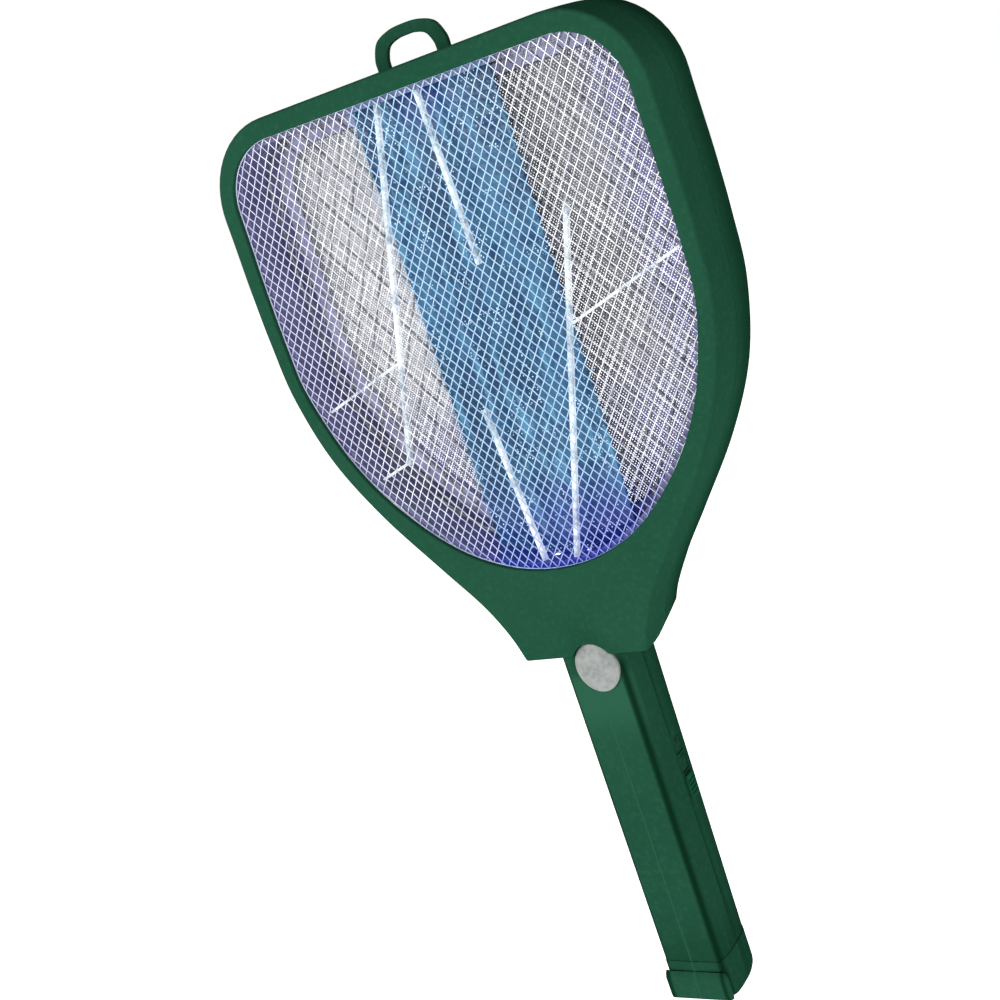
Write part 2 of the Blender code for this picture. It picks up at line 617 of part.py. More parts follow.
def make_power_button():
    """The oval cap with its retaining flange and stem, and the plunger that it pushes."""
    press = bpy.data.objects.new("button_press", None)
    press.location = (BUTTON_CENTRE[0], BUTTON_FRONT, BUTTON_CENTRE[1])
    racket.objects.link(press)
    bpy.context.view_layer.update()
    crown = [radius - 0.9 * MM for radius in BUTTON_RADII]
    button = plate("power_button", [oval(BUTTON_CENTRE, BUTTON_RADII)], BUTTON_RIM, BUTTON_BACK, "grey_plastic")
    join(button, plate("button_crown", [oval(BUTTON_CENTRE, crown)], BUTTON_FRONT, BUTTON_RIM + 0.3 * MM))
    x, z = BUTTON_CENTRE
    flange_front, flange_back = -16.4 * MM, -14.8 * MM
    join(button, block("button_flange", (x - 8 * MM, flange_front + 0.5 * MM, z - 14.2 * MM),
                       (x + 8 * MM, flange_back, z + 14.2 * MM)))
    join(button, rod("button_stem", (x, flange_front, z), (x, BUTTON_STEM_END, z), 2.4 * MM))
    plunger = rod("switch_plunger", (x, BUTTON_STEM_END + GAP, z), (x, -8.6 * MM, z), 1.6 * MM, "black_plastic")
    for piece in (button, plunger):
        piece.parent = press
        piece.matrix_parent_inverse = press.matrix_world.inverted()
    tact = block("tact_switch", (x - 3 * MM, -9 * MM, z - 3 * MM), (x + 3 * MM, -5.3 * MM, z + 3 * MM),
                 "black_plastic")
    cut(tact, rod("tact_hole", (x, -10 * MM, z), (x, -6.6 * MM, z), 1.9 * MM))


def make_mode_switch():
    """The slide switch's knob and body, and the two indicator lights beside it."""
    slide = bpy.data.objects.new("mode_switch_slide", None)
    slide.location = (HANDLE_HALF_WIDTH, SWITCH_Y, (KNOB_LOW + KNOB_HIGH) / 2)
    racket.objects.link(slide)
    bpy.context.view_layer.update()
    outside = HANDLE_HALF_WIDTH + GAP
    half_width, middle = 3.6 * MM, (KNOB_LOW + KNOB_HIGH) / 2
    knob = block("mode_switch_knob", (outside, SWITCH_Y - half_width, KNOB_LOW),
                 (outside + 1.4 * MM, SWITCH_Y + half_width, KNOB_HIGH), "knob_plastic")
    join(knob, block("knob_stem", (9.9 * MM, SWITCH_Y - 1.2 * MM, middle - 1.3 * MM),
                     (outside + 0.5 * MM, SWITCH_Y + 1.2 * MM, middle + 1.3 * MM)))
    for i in range(3):
        z = KNOB_LOW + (3.4 + 3.1 * i) * MM
        cut(knob, rod(f"knob_groove_{i}", (outside + 1.5 * MM, SWITCH_Y - 6 * MM, z),
                      (outside + 1.5 * MM, SWITCH_Y + 6 * MM, z), 0.6 * MM, sides=8))
    knob.parent = slide
    knob.matrix_parent_inverse = slide.matrix_world.inverted()
    block("mode_switch_body", (5.7 * MM, SWITCH_Y - 4 * MM, 98 * MM), (9.6 * MM, SWITCH_Y + 4 * MM, 116 * MM), "steel")
    block_mm("switch_board", SWITCH_BOARD, "circuit_board")
    for name, z in WINDOWS.items():
        half_y, half_z = WINDOW_HALF
        block(f"{name}_window", (15.4 * MM, SWITCH_Y - half_y, z - half_z),
              (HANDLE_HALF_WIDTH - 0.2 * MM, SWITCH_Y + half_y, z + half_z), "window_plastic")
        rod(f"{name}_led", (5.7 * MM, SWITCH_Y, z), (10.2 * MM, SWITCH_Y, z), 1.5 * MM, "clear_plastic", 12)


# Electronics

def make_main_board():
    block_mm("main_circuit_board", BOARD, "circuit_board")
    back = BOARD_BACK / MM + 0.3
    core = block_mm("step_up_transformer", ((-7, back, 150), (7, back + 12, 164)), "ferrite")
    cut(core, block_mm("core_window_lower", ((-8, back + 2.5, 152.5), (8, back + 9.5, 154.8))))
    cut(core, block_mm("core_window_upper", ((-8, back + 2.5, 159.2), (8, back + 9.5, 161.5))))
    block_mm("high_voltage_capacitor", ((-10.5, back, 128), (3.2, back + 7, 141)), "capacitor_film")
    block_mm("drive_transistor", ((-4, back, 108), (4, back + 3, 119)), "black_plastic")
    rod("storage_capacitor", (-6 * MM, 3 * MM, 170 * MM), (-6 * MM, 3 * MM, 183 * MM), 5 * MM, "capacitor_sleeve")


def make_battery():
    y = -0.5 * MM
    cell = rod("battery_cell", (0, y, BATTERY_LOW), (0, y, BATTERY_HIGH - 1.2 * MM), BATTERY_RADIUS,
               "battery_wrap", 28)
    join(cell, rod("battery_nub", (0, y, BATTERY_HIGH - 2 * MM), (0, y, BATTERY_HIGH), 3 * MM))
    for name, low in (("battery_contact_minus", BATTERY_LOW - 1.1 * MM), ("battery_contact_plus", BATTERY_HIGH + GAP)):
        block(name, (-6 * MM, -7 * MM, low), (6 * MM, 6 * MM, low + 0.8 * MM), "nickel")


def make_leads():
    lead("battery_lead", [(11.6, -1, 90), (12.2, -3, 60), (12, -2, 40), (9, 2, 30)], 0.6 * MM, "black_lead")
    lead("led_lead", [(4, 0, 202.2), (6, 3, 210), (10, 1, 220), (12, -1, 229)], 0.6 * MM, "black_lead")
    lead("charge_grid_lead", [(-5, 0, 202.2), (-8, 5, 212), (-10, 9, 224), (-10, 8, 236.4)], 0.7 * MM, "red_lead")
    lead("guard_grid_lead", [(9, 2, 202.2), (8, 6, 212), (8, 9, 223), (12, 11, 236.4)], 0.7 * MM, "black_lead")


# The racket

make_front_head_frame()
make_rear_head_frame()
make_hanging_loop()
make_grid_carrier()
make_grid("front_guard_grid", 1.6 * MM, 0.6 * MM, FRONT_GRID, GUARD_ANGLES)
make_grid("charge_grid", -CARRIER_IN - GAP, CARRIER_IN + 2.2 * MM, CHARGE_GRID, CHARGE_ANGLES)
make_grid("rear_guard_grid", 1.6 * MM, 0.6 * MM, REAR_GRID, GUARD_ANGLES)
make_lure_panel()
for rib_name, rib_runs in RIBS.items():
    make_spacer_rib(rib_name, rib_runs)
make_leds()
for screw_side, screw_name in ((-1, "head_screw_left"), (1, "head_screw_right")):
    make_screw(screw_name, screw_side * NECK_SCREW[0], NECK_SCREW[1], HEAD_BACK - 0.4 * MM, -9 * MM)
make_handle_front_shell()
make_handle_rear_shell()
for screw_key, screw_z in SCREW_HEIGHTS.items():
    make_screw(f"handle_screw_{screw_key}", 0, screw_z, 16.8 * MM, -9 * MM)
make_end_cap()
make_charging_prongs()
make_power_button()
make_mode_switch()
make_main_board()
make_battery()
make_leads()
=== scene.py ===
"""The looks of the mosquito racket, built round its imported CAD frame.

+Z runs along the handle towards the hanging loop, the working face looks along -Y, and the origin is
at the middle of the end cap's foot. Lengths are in metres.
"""

import json
from math import cos, pi, radians, sin, tau

import bmesh
import bpy
from mathutils import Matrix, Vector


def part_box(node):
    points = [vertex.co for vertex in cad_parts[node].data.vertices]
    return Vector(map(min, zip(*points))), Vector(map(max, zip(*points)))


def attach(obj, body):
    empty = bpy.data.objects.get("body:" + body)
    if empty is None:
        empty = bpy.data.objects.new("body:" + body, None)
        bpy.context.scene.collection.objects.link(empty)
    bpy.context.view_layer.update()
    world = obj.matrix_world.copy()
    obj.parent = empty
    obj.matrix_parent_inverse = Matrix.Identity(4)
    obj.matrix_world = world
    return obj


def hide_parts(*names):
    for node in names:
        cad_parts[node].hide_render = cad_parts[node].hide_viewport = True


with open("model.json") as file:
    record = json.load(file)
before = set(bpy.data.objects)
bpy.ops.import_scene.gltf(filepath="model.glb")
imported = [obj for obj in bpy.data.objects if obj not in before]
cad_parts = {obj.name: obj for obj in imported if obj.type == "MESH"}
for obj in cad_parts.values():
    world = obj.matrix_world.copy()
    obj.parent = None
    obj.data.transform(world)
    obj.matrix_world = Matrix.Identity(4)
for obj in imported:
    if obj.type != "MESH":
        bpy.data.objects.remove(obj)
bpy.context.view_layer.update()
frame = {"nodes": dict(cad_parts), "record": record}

MM = 0.001

# Head outline: the right side from the rounded corner down to the neck
HEAD_TOP = 474 * MM
CORNER_RADIUS = 40 * MM
CORNER_CENTRE = (75 * MM, HEAD_TOP - CORNER_RADIUS)
HEAD_SIDE = [(115, 434), (115.8, 400), (115.7, 373), (113.9, 344), (104.7, 310), (87.3, 278), (64, 246.5),
             (47.6, 225), (38.3, 208), (33.5, 193.5)]
OPENING_TOP = 464.4 * MM
OPENING_RADIUS = 29.5 * MM
OPENING_CENTRE = (76.5 * MM, OPENING_TOP - OPENING_RADIUS)
OPENING_SIDE = [(106, 434.9), (107.3, 400), (107.6, 370), (105.9, 344), (94.6, 309), (77.6, 281.5),
                (53, 257),
                (27, 243.5), (0, 239.3)]
REAR_OPENING_INSET = 8 * MM
OUTLINE_SAFETY = 0.05 * MM  # keeps the finer outline inside the CAD one

# Head shells in depth
HEAD_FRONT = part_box("front_head_frame")[0].y
HEAD_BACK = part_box("rear_head_frame")[1].y
FRONT_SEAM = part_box("front_head_frame")[1].y
REAR_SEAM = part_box("rear_head_frame")[0].y
WALL = 2.2 * MM
FACE = 2.4 * MM
RIM_FILLET = 1.7 * MM
OPENING_FILLET = 0.6 * MM
SIDE_CROWN = 0.3 * MM  # how much the side wall pulls in from the seam to the fillet
SEAM_CHAMFER = 0.25 * MM
NECK_BOTTOM = 193.5 * MM
NECK_SLANT_START = -8.5 * MM  # the neck's foot is level in front of this depth and rises behind it
NECK_LIFT, NECK_LIFT_REACH = 7.5 * MM, 30 * MM

# Grids
GRID_CENTRE = Vector((0, 352 * MM))
GUARD_ANGLES = (52, 128)
CHARGE_ANGLES = (60, 124)
GUARD_PITCH, CHARGE_PITCH = 3.85 * MM, 9.7 * MM
GUARD_WIRE, CHARGE_WIRE = 0.27 * MM, 0.55 * MM
SCREEN_ANGLES = (52, 128)
SCREEN_PITCH, SCREEN_WIRE = 1.3 * MM, 0.38 * MM  # the wire is half the width of one flat wire
BAND_HALF = 0.45 * MM  # half the thickness of a grid's rim band
BAND_OUT, BAND_IN = 1.6 * MM, 0.1 * MM  # how far a guard's rim band reaches outside and inside the opening
CHARGE_BAND_OUT, CHARGE_BAND_IN = -1.1 * MM, 3 * MM
GRID_REACH = 200 * MM

# Handle: right half of its section in XY, from the front's middle ridge round to the back
FRONT_RIDGE, FRONT_PANEL = [(0, -18.2), (0.5, -18.17), (0.9, -17.95)], [(1.5, -17.9), (14.3, -17.6)]
GROOVE = [(15.0, -17.0), (15.3, -15.5), (16.2, -14.8)]
FLANK = [(17.2, -12.6), (17.8, -8), (18.0, -1.5)]
HANDLE_SIDE = 18 * MM
REAR_TOP = [(18.0, 6), (17.8, 12), (16.8, 15.2), (14.1, 17.3), (9.5, 18.1), (0, 18.2)]
REAR_BOTTOM = [(18.0, 5), (17.5, 9.6), (16.0, 12.9), (13.0, 15.4), (9, 16.6), (0, 16.8)]
HOLLOW_SECTION = [(0, -16.3), (12.9, -16.1), (13.3, -13.9), (14.9, -12.4), (15.8, -10), (15.8, 6.5),
                  (15, 10.6),
                  (13.2, 13.3), (9.6, 14.8), (0, 15)]
HOLLOW_SIDE = 15.8 * MM
HANDLE_LOW, HANDLE_TOP = 21.3 * MM, 226 * MM
REAR_FULL = 185 * MM  # the handle reaches its full depth at this height
SPIGOT_LOW, SPIGOT_OUT = 17 * MM, 0.5 * MM
SEAM_HALF_GAP = 0.15 * MM  # half the gap between the two halves of the handle
PRONG_X = 6.35 * MM
WELL_RADII = (3.1 * MM, 3.1 * MM)  # the recess round each screw head
PASSAGE_X, PASSAGE_LOW = 18.4 * MM, 190 * MM  # the way the handle takes into the head
SCREW_HEIGHTS = {"bottom": 30 * MM, "lower": 97 * MM, "upper": 215 * MM}
NECK_SCREW = (24 * MM, 213 * MM)
SWITCH_Y = 4.6 * MM
KNOB_LOW, KNOB_HIGH = 102.5 * MM, 115.5 * MM
WINDOWS = {"power_indicator": 121 * MM, "charge_indicator": 131.2 * MM}
WINDOW_HALF = (3.4 * MM, 3.9 * MM)
SWITCH_TRAVEL = 3 * MM
BUTTON_CENTRE = (3.2 * MM, 187 * MM)
BUTTON_RADII = (11.3 * MM, 12.7 * MM)

# End cap: its underside in the YZ plane, and the foot at its front in the XY plane
CAP_UNDERSIDE = [(2, 0), (8, 1.7), (13, 5), (16.4, 9.8), (17.6, 15)]
CAP_FOOT = [(-16.3, -20.4), (16.3, -20.4), (17.6, -18.6), (17.2, -17.2), (-17.2, -17.2), (-17.6, -18.6)]
CAP_FLOOR = 2 * MM

# Hanging loop: the right half of its outer and inner edges, and its depth
LOOP_X = 1.6 * MM
LOOP_OUTSIDE = [(19.7, 470.5), (19.6, 475), (19.2, 480), (15.6, 486.6), (8, 489.7), (0, 490.3)]
LOOP_EYE = [(12.9, 470.5), (12.9, 475), (12.5, 478.6), (10, 483), (5, 484.8), (0, 485.1)]

# Spacer ribs and panel
RIB_WIDTH, BRANCH_WIDTH = 2.2 * MM, 1.3 * MM
RIBS = {
    "left_spacer_rib": [((-15, 470), (-67, 299)), ((-112, 285), (-65, 300.5)), ((-118, 327), (-51, 349))],
    "right_spacer_rib": [((57.8, 398.5), (4, 231)), ((41, 347), (116, 373.5))],
    "upper_spacer_rib": [((4, 470), (7, 383))],
    "lower_spacer_rib": [((-15.6, 318), (-9.5, 231))],
}
LED_X = 9 * MM

# The photograph's camera
CAMERA_TARGET = Vector((-22.5, -12.7, 274.4)) * MM
CAMERA_AZIMUTH, CAMERA_ELEVATION, CAMERA_ROLL = 35, 14.21, 19.04
CAMERA_DISTANCE = 0.69375
CAMERA_LENS = 53.15
FLOOR_HEIGHT = -0.12


# Materials

class Shader:
    """A Principled material with short calls that add its nodes."""

    def __init__(self, name, roughness=0.5, metallic=0.0, **sockets):
        self.material = bpy.data.materials.new(name)
        self.material.use_nodes = True
        self.tree = self.material.node_tree
        self.surface = self.tree.nodes["Principled BSDF"]
        self.place = self.node("ShaderNodeTexCoord").outputs["Object"]
        self.set("Roughness", roughness)
        self.set("Metallic", metallic)
        for socket, value in sockets.items():
            self.set(socket.replace("_", " ").title().replace("Ior", "IOR"), value)

    def node(self, kind, **settings):
        made = self.tree.nodes.new(kind)
        for key, value in settings.items():
            setattr(made, key, value)
        return made

    def set(self, socket, value):
        self.surface.inputs[socket].default_value = (*value, 1) if isinstance(value, tuple) else value

    def feed(self, socket, source):
        self.tree.links.new(source, self.surface.inputs[socket])

    def wire(self, node, **inputs):
        for key, value in inputs.items():
            socket = node.inputs[int(key[1:])] if key[0] == "i" and key[1:].isdigit() else node.inputs[key]
            if isinstance(value, bpy.types.NodeSocket):
                self.tree.links.new(value, socket)
            else:
                socket.default_value = value
        return node

    def stretched(self, scale, turn=(0, 0, 0)):
        mapping = self.node("ShaderNodeMapping")
        self.wire(mapping, Vector=self.place, Scale=scale, Rotation=turn)
        return mapping.outputs["Vector"]

    def noise(self, scale, detail=3.0, rough=0.55, place=None):
        made = self.node("ShaderNodeTexNoise")
        self.wire(made, Vector=place or self.place, Scale=scale, Detail=detail, Roughness=rough)
        return made.outputs["Fac"]

    def cells(self, scale, place=None, feature="F1"):
        made = self.node("ShaderNodeTexVoronoi", feature=feature)
        self.wire(made, Vector=place or self.place, Scale=scale)
        return made.outputs["Distance"]

    def axis(self, name):
        split = self.node("ShaderNodeSeparateXYZ")
        self.wire(split, Vector=self.place)
        return split.outputs[name]

    def between(self, value, low, high, to=(0.0, 1.0)):
        """The value's place between low and high, smoothly from to[0] to to[1]."""
        made = self.node("ShaderNodeMapRange", interpolation_type="SMOOTHSTEP")
        self.wire(made, i0=value, i1=low, i2=high, i3=to[0], i4=to[1])
        return made.outputs["Result"]

    def math(self, operation, first, second=0.0):
        made = self.node("ShaderNodeMath", operation=operation, use_clamp=False)
        self.wire(made, i0=first, i1=second)
        return made.outputs[0]

    def both(self, first, second):
        return self.math("MULTIPLY", first, second)

    def size(self, value):
        """The value without its sign."""
        return self.math("ABSOLUTE", value)

    def drift(self, scale, detail, low, high, to=(0.0, 1.0)):
        """A soft random change between two values."""
        return self.between(self.noise(scale, detail), low, high, to)

    def mix(self, share, first, second):
        made = self.node("ShaderNodeMix", data_type="RGBA")
        first, second = ((*part, 1) if isinstance(part, tuple) else part for part in (first, second))
        self.wire(made, i0=share, i6=first, i7=second)
        return made.outputs[2]

    def bump(self, height, strength, distance, under=None):
        made = self.node("ShaderNodeBump")
        self.wire(made, Height=height, Strength=strength, Distance=distance)
        if under:
            self.wire(made, Normal=under)
        return made.outputs["Normal"]

    def grain(self, scale, strength, distance, detail=2):
        self.feed("Normal", self.bump(self.noise(scale, detail), strength, distance))

    def wear(self, scale, low, high, detail=2):
        """Roughness that drifts between two values."""
        self.feed("Roughness", self.drift(scale, detail, 0.3, 0.7, (low, high)))

    def lit(self, tone, strength):
        """The tone as the surface's own colour and as a faint light from inside it."""
        self.feed("Base Color", tone)
        self.feed("Emission Color", tone)
        self.set("Emission Strength", strength)


def moulded(name, colour, light, dark, roughness):
    """Moulded plastic: drifting colour, grain and scuffs, with painted shade on edges, in the handle's
    grooves and towards the rear, and painted highlights on the handle's front ridge and below its button.
    """
    shader = Shader(name, roughness, specular_ior_level=0.0)
    drift = shader.noise(14, 4)
    tone = shader.mix(shader.between(drift, 0.35, 0.65), dark, colour)
    specks = shader.noise(420, 2)
    tone = shader.mix(shader.between(specks, 0.45, 0.75, (0, 0.45)), tone, light)
    shadow = (0.2 * dark[0], 0.33 * dark[1], 0.24 * dark[2])
    # Painted shade: the sharpest convex edges are darkened towards the shadow colour.
    edge = shader.node("ShaderNodeNewGeometry").outputs["Pointiness"]
    tone = shader.mix(shader.between(edge, 0.53, 0.62, (0, 0.45)), tone, shadow)
    x, y, z = (shader.axis(letter) for letter in "XYZ")
    # Painted shade: the plastic darkens towards the rear.
    tone = shader.mix(shader.between(y, -3 * MM, 19 * MM, (0, 0.68)), tone, shadow)
    # Painted highlight: a lighter line along the handle's front ridge, up to just below the button.
    in_front = shader.between(y, -14 * MM, -11 * MM, (1, 0))
    ridge = shader.between(shader.size(x), 0.25 * MM, 0.7 * MM, (0.6, 0))
    ridge = shader.both(ridge, shader.between(z, 165 * MM, 170 * MM, (1, 0)))
    ridge = shader.both(ridge, in_front)
    tone = shader.mix(ridge, tone, light)
    # Painted highlight: a lighter patch on the handle's front, below the button.
    below_button_highlight = shader.both(shader.between(z, 142 * MM, 168 * MM),
                               shader.between(z, 178 * MM, 186 * MM, (1, 0)))
    tone = shader.mix(shader.both(below_button_highlight, in_front), tone, light)
    # Painted shade: darker along the grooves beside the handle's front panel, below the neck.
    off_groove = shader.size(shader.math("SUBTRACT", shader.size(x), GROOVE[0][0] * MM))
    groove_shade = shader.between(off_groove, 0.2 * MM, 2.2 * MM, (0.85, 0))
    groove_shade = shader.both(groove_shade, shader.between(z, NECK_BOTTOM - 8 * MM, NECK_BOTTOM, (1, 0)))
    groove_shade = shader.both(groove_shade, shader.between(y, -14 * MM, -12 * MM, (1, 0)))
    tone = shader.mix(groove_shade, tone, shadow)
    shader.feed("Base Color", tone)
    scuffs = shader.noise(9, 5, 0.7, shader.stretched((1, 1, 0.25)))
    shader.feed("Roughness", shader.between(scuffs, 0.3, 0.7, (roughness - 0.06, roughness + 0.1)))
    shader.grain(1700, 0.35, 0.00005)
    return shader.material


def green_plastic():
    colour, light, dark = (0.0112, 0.055, 0.031), (0.0165, 0.073, 0.042), (0.0095, 0.05, 0.028)
    return moulded("green_shell_plastic", colour, light, dark, 0.42)


def knob_plastic():
    colour, light, dark = (0.016, 0.1, 0.055), (0.024, 0.12, 0.07), (0.012, 0.086, 0.046)
    return moulded("green_knob_plastic", colour, light, dark, 0.38)


def grey_plastic():
    """The push button: pale grey with a blotched, slightly brushed look."""
    shader = Shader("grey_button_plastic", 0.42, specular_ior_level=0.35)
    blotches = shader.noise(520, 4, 0.6)
    cloud = shader.noise(210, 2)
    tone = shader.mix(shader.between(blotches, 0.35, 0.65), (0.15, 0.165, 0.158), (0.2, 0.215, 0.207))
    tone = shader.mix(shader.between(cloud, 0.35, 0.7, (0, 0.5)), tone, (0.27, 0.285, 0.275))
    shader.feed("Base Color", tone)
    shader.grain(1400, 0.4, 0.00006)
    shader.feed("Roughness", shader.between(cloud, 0.3, 0.7, (0.36, 0.52)))
    return shader.material


def guard_wire():
    """Bright drawn wire, with painted violet LED light at the left, painted blue light from the lure panel
    over it, and painted deep blue LED light near the LEDs.
    """
    shader = Shader("guard_wire_metal", 0.34, 0.35)
    streaks = shader.noise(260, 3)
    tone = shader.mix(shader.between(streaks, 0.3, 0.7), (0.5, 0.52, 0.57), (0.86, 0.88, 0.92))
    # Painted violet LED light: deep blue on the wires low down, near the LEDs.
    low = shader.between(shader.axis("Z"), 258 * MM, 292 * MM, (0.8, 0))
    low = shader.both(low, shader.between(shader.axis("X"), -30 * MM, 10 * MM, (0.5, 1)))
    painted_led_blue = (0.3, 0.36, 0.85)
    x = shader.axis("X")
    # Painted violet LED light: lavender on the wires at the left.
    left = shader.between(x, -96 * MM, -66 * MM, (0.75, 0))
    tone = shader.mix(left, tone, (0.5, 0.5, 0.76))
    # Painted blue light from the lure panel on the wires in front of it.
    panel = shader.both(shader.between(x, -32 * MM, -26 * MM),
                        shader.between(x, 46 * MM, 52 * MM, (0.7, 0)))
    tone = shader.mix(panel, tone, (0.27, 0.54, 0.82))
    tone = shader.mix(low, tone, painted_led_blue)
    shader.feed("Base Color", tone)
    shader.wear(900, 0.25, 0.45)
    shader.grain(2500, 0.3, 0.00004)
    return shader.material


def charge_wire():
    """The thicker wires of the middle grid, given a dark grey that stands in for the shade they lie in."""
    shader = Shader("charge_wire_metal", 0.38, 0.55)
    tone = shader.mix(shader.drift(120, 3, 0.35, 0.65), (0.18, 0.18, 0.2), (0.32, 0.32, 0.35))
    shader.feed("Base Color", tone)
    shader.wear(700, 0.3, 0.5)
    shader.grain(2500, 0.3, 0.00004)
    return shader.material


def rear_screen():
    """The fine rear screen: pale on the left, grey on the right, with painted violet LED light low down and
    at the far right.
    """
    shader = Shader("rear_screen_metal", 0.6, 0.0, specular_ior_level=0.1)
    x, z = shader.axis("X"), shader.axis("Z")
    fine = shader.between(shader.noise(95, 5, 0.65), 0.35, 0.65)
    pale = shader.mix(fine, (0.42, 0.42, 0.46), (0.6, 0.6, 0.63))
    grey = shader.mix(fine, (0.2, 0.205, 0.215), (0.36, 0.365, 0.38))
    tone = shader.mix(shader.between(x, -55 * MM, 20 * MM), pale, grey)
    height = shader.size(shader.math("SUBTRACT", z, 362 * MM))
    band = shader.between(height, 10 * MM, 42 * MM, (0.6, 0))
    band = shader.both(band, shader.between(x, 0.0, 30 * MM))
    tone = shader.mix(band, tone, (0.15, 0.148, 0.145))
    # Painted violet LED light: lavender low down, near the LEDs, and at the far right.
    low = shader.between(z, 285 * MM, 335 * MM, (1, 0))
    edge = shader.between(x, 58 * MM, 84 * MM)
    tone = shader.mix(shader.math("MAXIMUM", low, edge), tone, (0.24, 0.235, 0.47))
    shader.feed("Base Color", tone)
    shader.wear(900, 0.5, 0.7)
    shader.grain(2200, 0.3, 0.00004)
    return shader.material


def violet_plastic():
    """The ring that carries the grids: grey violet, and deep blue where the LEDs light it."""
    shader = Shader("violet_ring_plastic", 0.34, specular_ior_level=0.4)
    drift = shader.noise(45, 4)
    tone = shader.mix(shader.between(drift, 0.35, 0.65), (0.06, 0.062, 0.14), (0.11, 0.115, 0.22))
    off_axis = shader.size(shader.axis("X"))
    sideways = shader.between(off_axis, 22 * MM, 62 * MM, (1, 0))
    low = shader.between(shader.axis("Z"), 250 * MM, 285 * MM, (1, 0))
    lit = shader.both(sideways, low)
    lip = shader.between(shader.axis("Y"), 14.8 * MM, 15.6 * MM)
    pale = shader.mix(shader.between(drift, 0.3, 0.7), (0.34, 0.33, 0.55), (0.5, 0.5, 0.72))
    tone = shader.mix(lip, tone, pale)
    tone = shader.mix(lit, tone, (0.016, 0.022, 0.26))
    shader.lit(tone, 0.22)
    shader.grain(600, 0.3, 0.0001, 3)
    return shader.material


def blue_acrylic():
    """The lure panel: mottled blue with dark patches, glitter painted as bright glints, and deep violet
    blue painted at its LED-lit ends.
    """
    shader = Shader("blue_lure_acrylic", 0.22, specular_ior_level=0.3)
    x, z = shader.axis("X"), shader.axis("Z")
    clouds = shader.noise(38, 5, 0.62, shader.stretched((1, 1, 0.6), (0, radians(12), 0)))
    tone = shader.mix(shader.between(clouds, 0.38, 0.62), (0.006, 0.034, 0.085), (0.03, 0.11, 0.2))
    streak_place = shader.stretched((1, 1, 0.12), (0, radians(-4), 0))
    streaks = shader.noise(160, 3, 0.6, streak_place)
    tone = shader.mix(shader.between(streaks, 0.5, 0.7, (0, 0.6)), tone, (0.1, 0.3, 0.46))
    patches = shader.cells(150)
    tone = shader.mix(shader.between(patches, 0.55, 0.8, (0, 0.75)), tone, (0.008, 0.04, 0.11))
    low = shader.between(z, 243 * MM, 292 * MM, (1, 0))
    right = shader.between(x, -20 * MM, 22 * MM, (0.45, 1))
    deep = shader.both(low, right)
    top = shader.between(z, 438 * MM, 462 * MM)
    middle = shader.between(shader.size(x), 4 * MM, 22 * MM, (0.75, 0.1))
    deep = shader.math("MAXIMUM", deep, shader.both(top, middle))
    tone = shader.mix(deep, tone, (0.008, 0.012, 0.16))
    # Painted glints: pale spots where the glitter cells meet the shine noise.
    glitter = shader.cells(620)
    shine = shader.noise(75, 3)
    spots = shader.both(shader.between(glitter, 0.12, 0.3, (1, 0)),
                        shader.between(shine, 0.5, 0.62))
    tone = shader.mix(spots, tone, (0.6, 0.85, 1.0))
    shader.lit(tone, 0.2)
    shader.feed("Normal", shader.bump(shader.cells(420), 0.5, 0.0004, shader.bump(clouds, 0.4, 0.001)))
    return shader.material


def clear_plastic():
    """Clear moulded ribs: grey with bubbles, and near white where they catch the light."""
    shader = Shader("clear_rib_plastic", 0.2, transmission_weight=0.4, ior=1.45)
    bubbles = shader.noise(340, 3, 0.6)
    tone = shader.mix(shader.between(bubbles, 0.35, 0.65), (0.2, 0.27, 0.34), (0.62, 0.68, 0.74))
    glints = shader.between(shader.noise(60, 4, 0.7), 0.44, 0.58, (0.1, 1))
    tone = shader.mix(glints, tone, (0.95, 0.98, 1.0))
    shader.lit(tone, 0.2)
    shader.feed("Normal", shader.bump(bubbles, 0.6, 0.0005))
    return shader.material


def led_lens():
    """A lit LED: white in its middle, violet round it."""
    shader = Shader("led_lens_epoxy", 0.1)
    height = shader.between(shader.axis("Z"), 233 * MM, 239 * MM)
    tone = shader.mix(height, (0.25, 0.2, 0.95), (1.0, 0.93, 0.98))
    tone = shader.mix(shader.drift(500, 2, 0.4, 0.7, (0, 0.3)), tone, (0.6, 0.6, 1.0))
    shader.lit(tone, 3.0)
    return shader.material


def window_plastic():
    shader = Shader("indicator_window_plastic", 0.4, specular_ior_level=0.0)
    tone = shader.mix(shader.drift(300, 3, 0.3, 0.7), (0.006, 0.034, 0.019), (0.012, 0.05, 0.029))
    shader.feed("Base Color", tone)
    shader.wear(120, 0.35, 0.5, 3)
    return shader.material


def circuit_board():
    """Green solder mask with copper tracks showing through."""
    shader = Shader("solder_mask_board", 0.35)
    tracks = shader.cells(210, feature="DISTANCE_TO_EDGE")
    tone = shader.mix(shader.between(tracks, 0.05, 0.09), (0.05, 0.26, 0.1), (0.015, 0.12, 0.05))
    pads = shader.cells(330)
    tone = shader.mix(shader.between(pads, 0.12, 0.16, (1, 0)), tone, (0.62, 0.6, 0.52))
    shader.feed("Base Color", tone)
    shader.feed("Normal", shader.bump(tracks, 0.3, 0.0002))
    return shader.material


def metal(name, low, high, roughness):
    """Plated or turned metal with fine brushing and dull spots."""
    shader = Shader(name, roughness, 1.0)
    brushed = shader.noise(500, 3, 0.6, shader.stretched((1, 1, 0.08)))
    shader.feed("Base Color", shader.mix(shader.between(brushed, 0.3, 0.7), low, high))
    dull = shader.noise(160, 3)
    shader.feed("Roughness", shader.between(dull, 0.3, 0.7, (roughness - 0.08, roughness + 0.15)))
    shader.feed("Normal", shader.bump(brushed, 0.2, 0.0001))
    return shader.material


